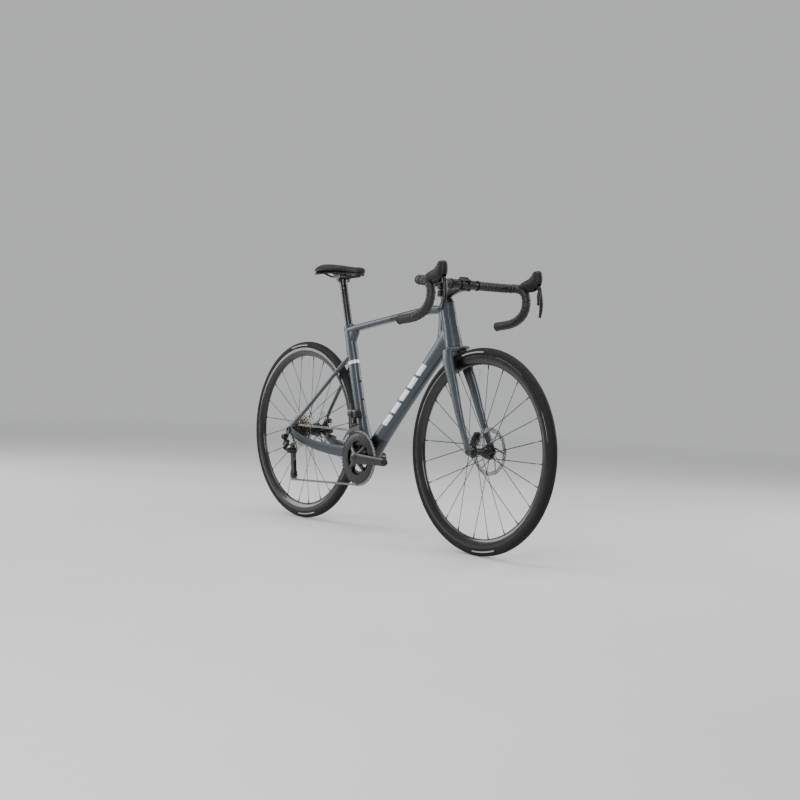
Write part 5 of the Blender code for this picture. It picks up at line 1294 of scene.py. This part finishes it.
def chain_pins():
    """Pin centres one pitch apart, first round ring and cog, then round the pulleys, then back."""
    big, cog, small = (pitch_radius(n) for n in (OUTER_RING_TEETH, COG_TEETH[0], PULLEY_TEETH))
    top = tangent(BB, big, REAR_AXLE, cog, -1)
    low = tangent(BB, big, TENSION_PULLEY, small, 1)
    over = tangent(REAR_AXLE, cog, GUIDE_PULLEY, -small, -1) % 360
    cross = tangent(GUIDE_PULLEY, small, TENSION_PULLEY, -small, 1)
    ring_wrap = arc_points(BB, big, low, top, OUTER_RING_Y, 0.5)
    cog_wrap = arc_points(REAR_AXLE, cog, top, over, SMALL_COG_Y)
    guide_wrap = arc_points(GUIDE_PULLEY, small, over - 180, cross, SMALL_COG_Y)
    tension_wrap = arc_points(TENSION_PULLEY, small, cross + 180, low + 360, SMALL_COG_Y)

    def run(a, b, count=60):
        found = []
        for k in range(1, count):
            t = k / count
            p = a.lerp(b, t)
            u = min(max((t - 0.2) / 0.6, 0), 1)
            p.y = a.y + (b.y - a.y) * u
            found.append(p)
        return found

    path = ring_wrap + run(ring_wrap[-1], cog_wrap[0]) + cog_wrap + run(cog_wrap[-1], guide_wrap[0])
    wrap_from = len(path)
    path += guide_wrap + run(guide_wrap[-1], tension_wrap[0]) + tension_wrap
    wrap_to = len(path)
    pins, marks = [path[0]], [0]
    i, last = 0, path[0]
    while i < wrap_to - 1:
        a, b = path[i], path[i + 1]
        if (b - last).length >= PITCH:
            lo, hi = 0.0, 1.0
            for _ in range(24):
                t = (lo + hi) / 2
                if (a.lerp(b, t) - last).length < PITCH:
                    lo = t
                else:
                    hi = t
            last = a.lerp(b, hi)
            pins.append(last)
            marks.append(i)
            continue
        i += 1
    start = pins[-1]
    rest = (path[0] - start).length
    links = max(1, round(rest / PITCH))
    if (len(pins) + links) % 2 == 0:
        links -= 1
    for k in range(1, links + 1):
        p = start.lerp(path[0], k / (links + 1))
        u = min(max((k / (links + 1) - 0.2) / 0.6, 0), 1)
        p.y = start.y + (path[0].y - start.y) * u
        pins.append(p)
        marks.append(wrap_to + 1)
    return pins, marks, (wrap_from, wrap_to)


def link_plate(a, b, offset, thickness, radius, waist):
    """A figure-of-eight side plate between two pins."""
    along = b - a
    length = along.length
    along.normalize()
    across = (LEFT - along * along.y).normalized()
    high = along.cross(across)
    outline = []
    for t in range(8):
        turn = math.radians(100 + 160 * t / 7)
        outline.append((radius * math.cos(turn), radius * math.sin(turn)))
    outline.append((length / 2, -waist))
    for t in range(8):
        turn = math.radians(-80 + 160 * t / 7)
        outline.append((length + radius * math.cos(turn), radius * math.sin(turn)))
    outline.append((length / 2, waist))
    rings = []
    for d in (offset - thickness / 2, offset + thickness / 2):
        rings.append([a + along * x + high * z + across * d for x, z in outline])
    return skin(rings)


def build_chain(steel, dark):
    pins, marks, (wrap_from, wrap_to) = chain_pins()
    groups = {"frame": [[], []], "rear_derailleur_cage": [[], []]}
    count = len(pins)
    for k in range(count):
        a, b = pins[k], pins[(k + 1) % count]
        inside = wrap_from - 25 <= marks[k] <= wrap_to
        plates, rollers = groups["rear_derailleur_cage" if inside else "frame"]
        outer = k % 2 == 0
        offset = 0.0023 if outer else 0.0015
        for s in (1, -1):
            plates.append(link_plate(a, b, s * offset, 0.0008, 0.0041 if outer else 0.0039, 0.0029))
        along = (b - a).normalized()
        across = (LEFT - along * along.y).normalized()
        rollers.append(disc(a, 0.0034, -0.0011, 0.0011, 14, across))
        rollers.append(disc(a, 0.0017, -0.0031, 0.0031, 10, across))
    names = {"frame": ("chain_links", "chain"), "rear_derailleur_cage": ("chain_links_in_cage",
        "chain_wrap")}
    for body, (plates, rollers) in groups.items():
        name, node = names[body]
        make(name, [(merged(plates), steel), (merged(rollers), dark)], body, [node],
            angle=40)
    return pins


def phase_at(pins, centre, teeth):
    """The angle of a pin that sits on this sprocket's pitch circle."""
    radius = pitch_radius(teeth)
    best = min(pins, key=lambda p: abs(math.hypot(p.x - centre.x, p.z - centre.z) - radius))
    return math.atan2(best.z - centre.z, best.x - centre.x)


def crank_rows(ahead, root, tail_y):
    """Rows of a crank arm: distance from the axle, Y, half height, half thickness; both ends are alike."""
    tail = [(x, tail_y, high, thick)
        for x, high, thick in mm((150, 14.3, 6.1), (170, 14, 6.1), (181, 9.8, 5), (186.5, 3, 2.5))]
    return [(BB + Vector((ahead * x, y, 0)), high, thick) for x, y, high, thick in root + tail]


def build_cranks(alloy, gloss, steel, pins):
    eye = Vector((BB.x + CRANK_LENGTH, -0.06275, BB.z))
    rows = crank_rows(1, mm((-20.5, -63.2, 10.5, 4), (-15, -63.2, 17, 5.4), (0, -63, 21, 6),
        (30, -62.8, 18, 6.1), (90, -62.8, 15.8, 6)), -0.0628)
    arm = loft(rows, 90, 40, 3.4)
    arm = carved(arm, [disc((eye.x, 0, eye.z), PEDAL_HOLE, -0.08, -0.04, 32)])
    boss = turned(mm((0, -69.8), (9, -69.8), (9.8, -69.2), (15, -69), (20.5, -66.5), (21.4, -63),
        (21.4, -46), (20.5, -44.8), (0, -44.8)), BB, LEFT, 72)
    spindle = disc(BB, 0.012, -0.06, 0.064, 40)
    arms, bolts = [], []
    for degrees in (45, 135, 225, 315):
        turn = math.radians(degrees)
        out = polar(1, turn)
        rows = [(BB + out * 0.01 + LEFT * -0.0565, 0.0042, 0.013),
            (BB + out * 0.026 + LEFT * -0.055, 0.0036, 0.0098),
            (BB + out * 0.042 + LEFT * -0.0528, 0.003, 0.0086),
            (BB + out * 0.0535 + LEFT * -0.0518, 0.0024, 0.0082)]
        arms.append(loft(rows, 20, 24, 3.0, out.cross(LEFT)))
        foot = BB + out * 0.0528
        bolts.append(turned(mm((0, -56), (3, -56), (3.8, -55.2), (4, -39.5), (0, -39.5)),
            Vector((foot.x, 0, foot.z)), LEFT, 20))
    eye_ring = ring(Vector((eye.x, 0, eye.z)), PEDAL_HOLE + 0.0001, 0.0098, -0.0694, -0.0562, 40)
    parts = [(arm, gloss), (boss, gloss), (spindle, steel), (merged(arms), gloss), (merged(bolts), steel),
        (eye_ring, steel)]
    make("crank_right", parts, "cranks", ["crank_arm_right"], angle=32)
    rows = crank_rows(-1, mm((-19, 62.5, 9, 4), (-14, 62.5, 15, 5.6), (0, 62.5, 18.6, 6.2),
        (30, 62.5, 16.8, 6.2), (90, 62.5, 15.4, 6)), 0.0625)
    left_eye = Vector((BB.x - CRANK_LENGTH, 0, BB.z))
    arm = carved(loft(rows, 90, 40, 3.4), [disc(left_eye, PEDAL_HOLE, 0.04, 0.08, 32),
        disc(BB, 0.0124, 0.03, 0.0643, 40)])
    boss = turned(mm((12.4, 45.2), (19.8, 45.2), (20.4, 46), (20.4, 66), (19, 69.2), (15, 69.9),
        (12.4, 69.9)), BB, LEFT, 64)
    cap = turned(mm((0, 64.5), (11.8, 64.5), (11.8, 69.2), (10.8, 69.8), (6, 69.8), (5.6, 68), (0, 68)), BB,
        LEFT, 40)
    eye_ring = ring(left_eye, PEDAL_HOLE + 0.0001, 0.0098, 0.0562, 0.0692, 40)
    pinch = [bolt_head(BB + Vector((-0.01 - 0.014 * k, 0.0625, 0.0178 - 0.0008 * k)), UP, 0.003,
        0.0024) for k in (0, 1)]
    parts = [(arm, gloss), (boss, gloss), (cap, alloy), (eye_ring, steel), (merged(pinch), steel)]
    make("crank_left", parts, "cranks", ["crank_arm_left"], angle=32)
    phase = phase_at(pins[:20], BB, OUTER_RING_TEETH)
    outer = gear(BB, OUTER_RING_TEETH, OUTER_RING_Y, 0.001, 0.062, phase)
    web = []
    for degrees in (45, 135, 225, 315):
        turn = math.radians(degrees)
        out = polar(1, turn)
        rows = [(BB + out * 0.048 + LEFT * (OUTER_RING_Y - 0.0002), 0.0012, 0.0085),
            (BB + out * 0.06 + LEFT * (OUTER_RING_Y - 0.0002), 0.0012, 0.013),
            (BB + out * 0.068 + LEFT * (OUTER_RING_Y - 0.0002), 0.001, 0.023)]
        web.append(loft(rows, 16, 24, 4.0, out.cross(LEFT)))
    face = turned([(0.0615, OUTER_RING_Y - 0.0013), (0.086, OUTER_RING_Y - 0.0013),
        (0.088, OUTER_RING_Y - 0.001), (0.088, OUTER_RING_Y), (0.0615, OUTER_RING_Y)], BB, LEFT, 96)
    make("chainring_large", [(outer, steel), (face, gloss), (merged(web), gloss)], "cranks",
        ["chainring_outer"], angle=32)
    inner = gear(BB, INNER_RING_TEETH, INNER_RING_Y, 0.001, 0.049, phase)
    face = ring(BB, 0.0482, 0.0635, INNER_RING_Y - 0.0011, INNER_RING_Y + 0.0011, 96)
    make("chainring_small", [(inner, steel), (face, gloss)], "cranks", ["chainring_inner"],
        angle=32)


def build_cassette(nickel, dark, pins):
    near = [p for p in pins if abs(p.y - SMALL_COG_Y) < 0.0004]
    phase = phase_at(near, REAR_AXLE, COG_TEETH[0])
    parts, spacers = [], []
    y = SMALL_COG_Y
    for k, teeth in enumerate(COG_TEETH):
        pr = pitch_radius(teeth)
        here = phase if k == 0 else phase + 0.31 * k
        inner = 0.0125 if k < 6 else pr - 0.0125
        parts.append(gear(REAR_AXLE, teeth, y, 0.0008, inner, here, 0.0026))
        if k >= 6:
            for q in range(6):
                a = math.radians(60 * q + 11 * k)
                b = a + math.radians(16)
                start = REAR_AXLE + polar(0.013, a, y)
                end = REAR_AXLE + polar(pr - 0.01, b, y)
                parts.append(bar(start, end, 0.0034, 0.0007, LEFT))
            spacers.append(ring(REAR_AXLE, 0.0124, 0.02, y - 0.0009, y + COG_SPACING - 0.0009, 40))
        else:
            spacers.append(ring(REAR_AXLE, 0.0124, min(pr - 0.006, 0.021), y + 0.0008,
                y + COG_SPACING - 0.0008, 40))
        y += COG_SPACING
    lock = turned([(radius, SMALL_COG_Y - out) for radius, out in mm((6.8, 1.2), (13.6, 1.2), (14.2, 1.8),
        (14.2, 2.6), (13.2, 3.4), (10, 3.4), (9.6, 2.2), (6.8, 2.2))], REAR_AXLE, LEFT, 48)
    make("cassette_sprockets", [(merged(parts), nickel), (merged(spacers), dark), (lock, dark)], "cassette",
        ["cassette"], angle=32)


def build_derailleurs(gloss, steel, plastic, pins):
    """Screws, covers and toothed pulleys; the knuckles, links and cage keep their CAD shapes."""
    for centre, name in ((GUIDE_PULLEY, "guide"), (TENSION_PULLEY, "tension")):
        phase = phase_at([p for p in pins if (p - centre).length < 0.03], centre, PULLEY_TEETH)
        hub_centre = Vector((centre.x, 0, centre.z))
        teeth = gear(hub_centre, PULLEY_TEETH, centre.y, 0.0011, 0.011, phase, 0.0022, 0.0041)
        web = ring(hub_centre, 0.0034, 0.015, centre.y - 0.0009, centre.y + 0.0009, 40)
        holes = []
        for q in range(5):
            a = 2 * math.pi * q / 5 + phase
            holes.append(disc(hub_centre + polar(0.0105, a), 0.0019, -0.08, -0.04, 16))
        web = carved(web, [merged(holes)])
        hub = ring(hub_centre, 0.0025, 0.0044, centre.y - 0.0034, centre.y + 0.0034, 32)
        parts = [(teeth, plastic), (web, plastic), (hub, steel)]
        make(name + "_pulley_wheel", parts, name + "_pulley", [name + "_pulley"], angle=32)
        screw = [bolt_head(Vector((centre.x, centre.y - 0.0059, centre.z)), -LEFT, 0.0036, 0.0016)]
        make(name + "_pulley_screw", [(merged(screw), steel)], "rear_derailleur_cage")
    cover = turned(mm((0, -1), (10.4, -1), (10.6, 0), (9.8, 1.8), (6, 2.4), (3.4, 2.4), (3, 0.8), (0, 0.8)),
        HANGER_BOLT + LEFT * -0.099, -LEFT, 40)
    make("hanger_bolt_head", [(cover, steel)], "rear_derailleur_b_knuckle")
    cap = turned(mm((0, -1), (9.2, -1), (9.6, 0), (8.8, 1.6), (4, 2.2), (0, 2.3)),
        CAGE_PIVOT + LEFT * -0.093, -LEFT, 40)
    make("cage_pivot_cap", [(cap, gloss)], "rear_derailleur_p_knuckle")


def build_front_derailleur(alloy, gloss, steel):
    x, y, z = -0.144, -0.036, 0.424
    body = loft([((x - 0.03, y, z), 0.01, 0.0105), ((x - 0.026, y, z), 0.0142, 0.0118),
        ((x - 0.002, y, z), 0.015, 0.012), ((x + 0.022, y, z), 0.0142, 0.0118),
        ((x + 0.026, y, z), 0.01, 0.0105)], 40, 32, 4.5)
    bracket = bar((x - 0.004, y + 0.006, z + 0.004), (x - 0.004, y + 0.0168, z + 0.004), 0.009, 0.01, UP)
    slot_cut = bar((x, y - 0.0001, z - 0.03), (x, y - 0.0001, z + 0.0065), 0.018, 0.0042, FORWARD)
    shape = carved(body, [slot_cut])
    screws = [bolt_head((x - 0.004, y - 0.0112, z + 0.009), -LEFT, 0.0034, 0.0012),
        bolt_head((x + 0.018, y - 0.0108, z - 0.006), -LEFT, 0.0018, 0.0014)]
    pin = disc((x, y, z), 0.0018, -0.006, 0.006, 20, FORWARD)
    parts = [(shape, gloss), (bracket, alloy), (merged(screws), steel), (pin, steel)]
    make("front_derailleur_motor", parts, "frame", ["front_derailleur_body"], angle=32)
    arm = loft([((x, y, z + 0.003), 0.0036, 0.0045), ((x, y - 0.0016, z - 0.016), 0.0034, 0.0042),
        ((x, y - 0.003, 0.387), 0.0036, 0.0045)], 16, 24, 3.0, FORWARD)
    arm = carved(arm, [disc((x, y, z), 0.002, -0.02, 0.02, 24, FORWARD)])
    low, high = OUTER_RING_Y - 0.0062, -0.035
    top = plate([(x + 0.0, 0.379), (x + 0.036, 0.387), (x + 0.036, 0.3895), (x + 0.0, 0.3825)], low, high)

    def crescent(start, end, inside, outside):
        """A plate that follows the chainring, with a rounded nose and a tapered tail, in degrees."""
        near, far = [], []
        for k in range(25):
            share = k / 24
            turn = math.radians(start + (end - start) * share)
            taper = math.sin(math.pi * min(1.0, share * 6) / 2) * (1 - 0.62 * share)
            out = inside + (outside - inside) * max(0.12, taper)
            near.append((BB.x + inside * math.cos(turn), BB.z + inside * math.sin(turn)))
            far.append((BB.x + out * math.cos(turn), BB.z + out * math.sin(turn)))
        return near + far[::-1]

    outer = crescent(84, 146, 0.1, 0.1185)
    inner = crescent(84, 142, 0.09, 0.1185)
    parts = [(arm, gloss), (top, steel), (plate(outer, low, low + 0.0012), steel),
        (plate(inner, -0.0362, -0.035), steel)]
    make("front_derailleur_guide", parts, "front_derailleur", ["front_derailleur_cage"],
        0.0003)


# Saddle and seatpost


def build_saddle(leather, shell_look, steel, carbon):
    rows = mm((-417.5, 30, 969, 11, 12), (-411, 54.5, 973, 13, 22), (-395, 67.5, 974.8, 15, 25),
        (-370, 70.5, 974.8, 16, 25), (-342, 65, 973.5, 16, 21), (-315, 52, 970.5, 17, 15),
        (-285, 36, 967, 18, 10), (-255, 26, 964, 19, 7), (-225, 21, 961.5, 20, 6), (-195, 18, 958.5, 20, 6),
        (-183.5, 13.5, 956, 18, 5.2), (-179, 6, 953, 12, 3))
    dense = flow(rows, 120)

    def ring_at(row, inset, lower, thick, channel):
        x, half, z, padding, droop = row
        half = max(half - inset, 0.002)
        top, under = [], []
        for k in range(-16, 17):
            u = k / 16
            w = math.copysign(abs(u) ** 0.9, u)
            fall = droop * abs(u) ** 2.2 + padding * 0.34 * max(0.0, abs(u) - 0.8) ** 2 / 0.04
            groove = channel * math.exp(-((u * half / 0.0085) ** 4))
            top.append(Vector((x, half * w, z - fall - groove - lower)))
        for k in range(15, -16, -1):
            u = k / 16
            w = math.copysign(abs(u) ** 0.9, u)
            fall = droop * abs(u) ** 2.2
            deep = thick * (1 - 0.3 * max(0.0, abs(u) - 0.6) / 0.4)
            under.append(Vector((x, half * w * 0.985, z - fall - deep - lower)))
        return top + under

    rings = []
    for row in dense:
        x = row[0]
        reach = min(max((x + 0.405) / 0.03, 0), 1) * min(max((-0.205 - x) / 0.03, 0), 1)
        rings.append(ring_at(row, 0.0, 0.0, row[3] - 0.0006, 0.0042 * reach))
    cover = make("saddle_padding", [(skin(rings), leather)], "seatpost", ["saddle_cover"],
        angle=50)
    soften = cover.modifiers.new("roll", "SMOOTH")
    soften.factor = 0.5
    soften.iterations = 6
    rings = [ring_at(row, 0.0042, row[3] - 0.0022, 0.0052, 0.0) for row in dense]
    make("saddle_base", [(skin(rings), shell_look)], "seatpost", ["saddle_shell"],
        angle=50)
    half = mm((-398, 34, 944), (-380, 30.5, 938.5), (-365, 27, 933), (-350, 23.2, 927.5), (-340, 22, 925.5),
        (-300, 22, 925.5), (-262, 22, 925.5), (-240, 18, 925.6), (-222, 13, 925.8), (-206, 6, 926.2))
    wire = half + [(x, -y, z) for x, y, z in half[::-1]]
    make("saddle_rail_wire", [(pipe(wire, 0.0035, 20, 160), steel)], "seatpost", ["saddle_rails"],
        angle=50)
    middle = seat(0.9255).x
    bolts = []
    outline = mm((0, 0), (4.2, 0), (4.4, 1), (4, 3), (2.4, 3.2), (2, 1.2), (0, 1.2))
    for ahead, depth in ((-0.015, 0.025), (0.015, 0.008)):
        top = (middle + ahead, 0, 0.9332)
        bolts.append(turned(outline, top, UP, 24))
        bolts.append(disc(top, 0.0024, -depth, 0.0, 20, UP))
    make("saddle_clamp_bolts", [(merged(bolts), steel)], "seatpost", angle=30)
    foot = seat(0.556)
    length = (0.912 - 0.556) / SEAT_UP.z
    post = turned([(0, 0), (0.0126, 0), (0.0136, 0.0012), (0.0136, length), (0, length)], foot, SEAT_UP, 72)
    head = loft([(seat(0.88), 0.0134, 0.0134), (seat(0.898), 0.014, 0.0137), (seat(0.908), 0.0165, 0.015),
        (seat(0.9185), 0.018, 0.0155)], 30, 40, 2.4, ends=(SEAT_UP, UP))
    shape = melted([post, head], 0.0011, 6, 0.0001)
    cutters = [disc(seat(0.9145), 0.0081, -0.04, 0.04, 48),
        bar((-0.4, 0, 0.934), (-0.2, 0, 0.934), 0.05, 0.0145, UP)]
    make("seatpost_tube", [(carved(shape, cutters), carbon)], "seatpost", ["seatpost"],
        angle=32)


def dress(names, look):
    """Gives CAD nodes that keep their shape a finished material."""
    for name in names:
        node = frame["nodes"][name]
        for spot in node.material_slots:
            spot.link = "OBJECT"
            spot.material = look


def main():
    add_camera()
    add_studio()
    paint = frame_paint()
    fork_look = fork_paint()
    alloy = plain_look("black_alloy", (0.006, 0.006, 0.0065), 0.3, 0.2, 1400.0, 0.00002)
    gloss = plain_look("gloss_black", (0.004, 0.004, 0.0044), 0.26, 0.0, 1100.0, 0.00001, coat=0.15,
        specular=0.35)
    plastic = plain_look("black_plastic", (0.0075, 0.0075, 0.008), 0.45, 0.0, 1300.0, 0.00005, specular=0.3)
    dark_steel = plain_look("black_steel", (0.04, 0.04, 0.042), 0.3, 0.9, 900.0, 0.00001, 0.2)
    steel = plain_look("bright_steel", (0.58, 0.58, 0.6), 0.26, 1.0, 700.0, 0.00001, 0.12)
    grey = plain_look("grey_alloy", (0.085, 0.085, 0.09), 0.34, 0.85, 1200.0, 0.00003)
    chain_steel = oiled_steel("chain_plates", (0.3, 0.3, 0.305), 0.28)
    chain_dark = oiled_steel("chain_rollers", (0.17, 0.165, 0.16), 0.34)
    nickel = brushed("cassette_nickel", (0.27, 0.245, 0.215), 0.3, REAR_AXLE)
    leather = saddle_leather()
    tape = tape_rubber()
    hoods = hood_rubber()
    carbon = gloss_carbon("gloss_carbon")
    build_frame(paint, plastic)
    build_fork(fork_look, carbon)
    build_cockpit(alloy, dark_steel, tape, plastic)
    build_controls(hoods, gloss, plastic, dark_steel)
    for end, axle, turn, flanges, rotor_y, rows in (
        ("front", FRONT_AXLE, FRONT_WHEEL_TURN, ((0.0225, 0.0215), (-0.034, 0.02)), FRONT_ROTOR_Y, FRONT_HUB),
        ("rear", REAR_AXLE, REAR_WHEEL_TURN, ((0.033, 0.0225), (-0.0165, 0.024)), REAR_ROTOR_Y, REAR_HUB),
    ):
        looks = (tyre_rubber(end + "_tyre_rubber", axle), gloss_carbon(end + "_rim_carbon", axle), alloy,
            dark_steel, brushed(end + "_rotor_steel", (0.3, 0.3, 0.31), 0.26, axle), steel)
        build_wheel(end, axle, turn, flanges, rotor_y, rows, looks)
    build_axles(alloy)
    build_caliper("front", FRONT_AXLE, 156, FRONT_ROTOR_Y, gloss, steel, "fork_and_bars")
    build_caliper("rear", REAR_AXLE, 14, REAR_ROTOR_Y, gloss, steel, "frame")
    pins = build_chain(chain_steel, chain_dark)
    build_cranks(alloy, gloss, dark_steel, pins)
    build_cassette(nickel, dark_steel, pins)
    build_derailleurs(gloss, dark_steel, plastic, pins)
    build_front_derailleur(alloy, gloss, grey)
    build_saddle(leather, plastic, dark_steel, carbon)
    dress(["headset_bearing_lower", "headset_bearing_upper"], steel)
    dress(["saddle_clamp_upper", "saddle_clamp_lower", "derailleur_hanger"], grey)
    dress(["rear_derailleur_b_knuckle", "rear_derailleur_p_knuckle", "rear_derailleur_link_outer"], gloss)
    dress(["rear_derailleur_link_inner", "rear_derailleur_cage"], alloy)
    build_floor()


def build_floor():
    mesh = bpy.data.meshes.new("studio_floor")
    size, steps = FLOOR_REACH, 20
    marks = [-size + 2 * size * i / steps for i in range(steps + 1)]
    points = [(x, y, -FLOOR_DROP) for y in marks for x in marks]
    faces = []
    for j in range(steps):
        for i in range(steps):
            a = j * (steps + 1) + i
            faces.append((a, a + 1, a + steps + 2, a + steps + 1))
    mesh.from_pydata(points, [], faces)
    mesh.materials.append(floor_look())
    floor = bpy.data.objects.new("studio_floor", mesh)
    bpy.context.scene.collection.objects.link(floor)


main()
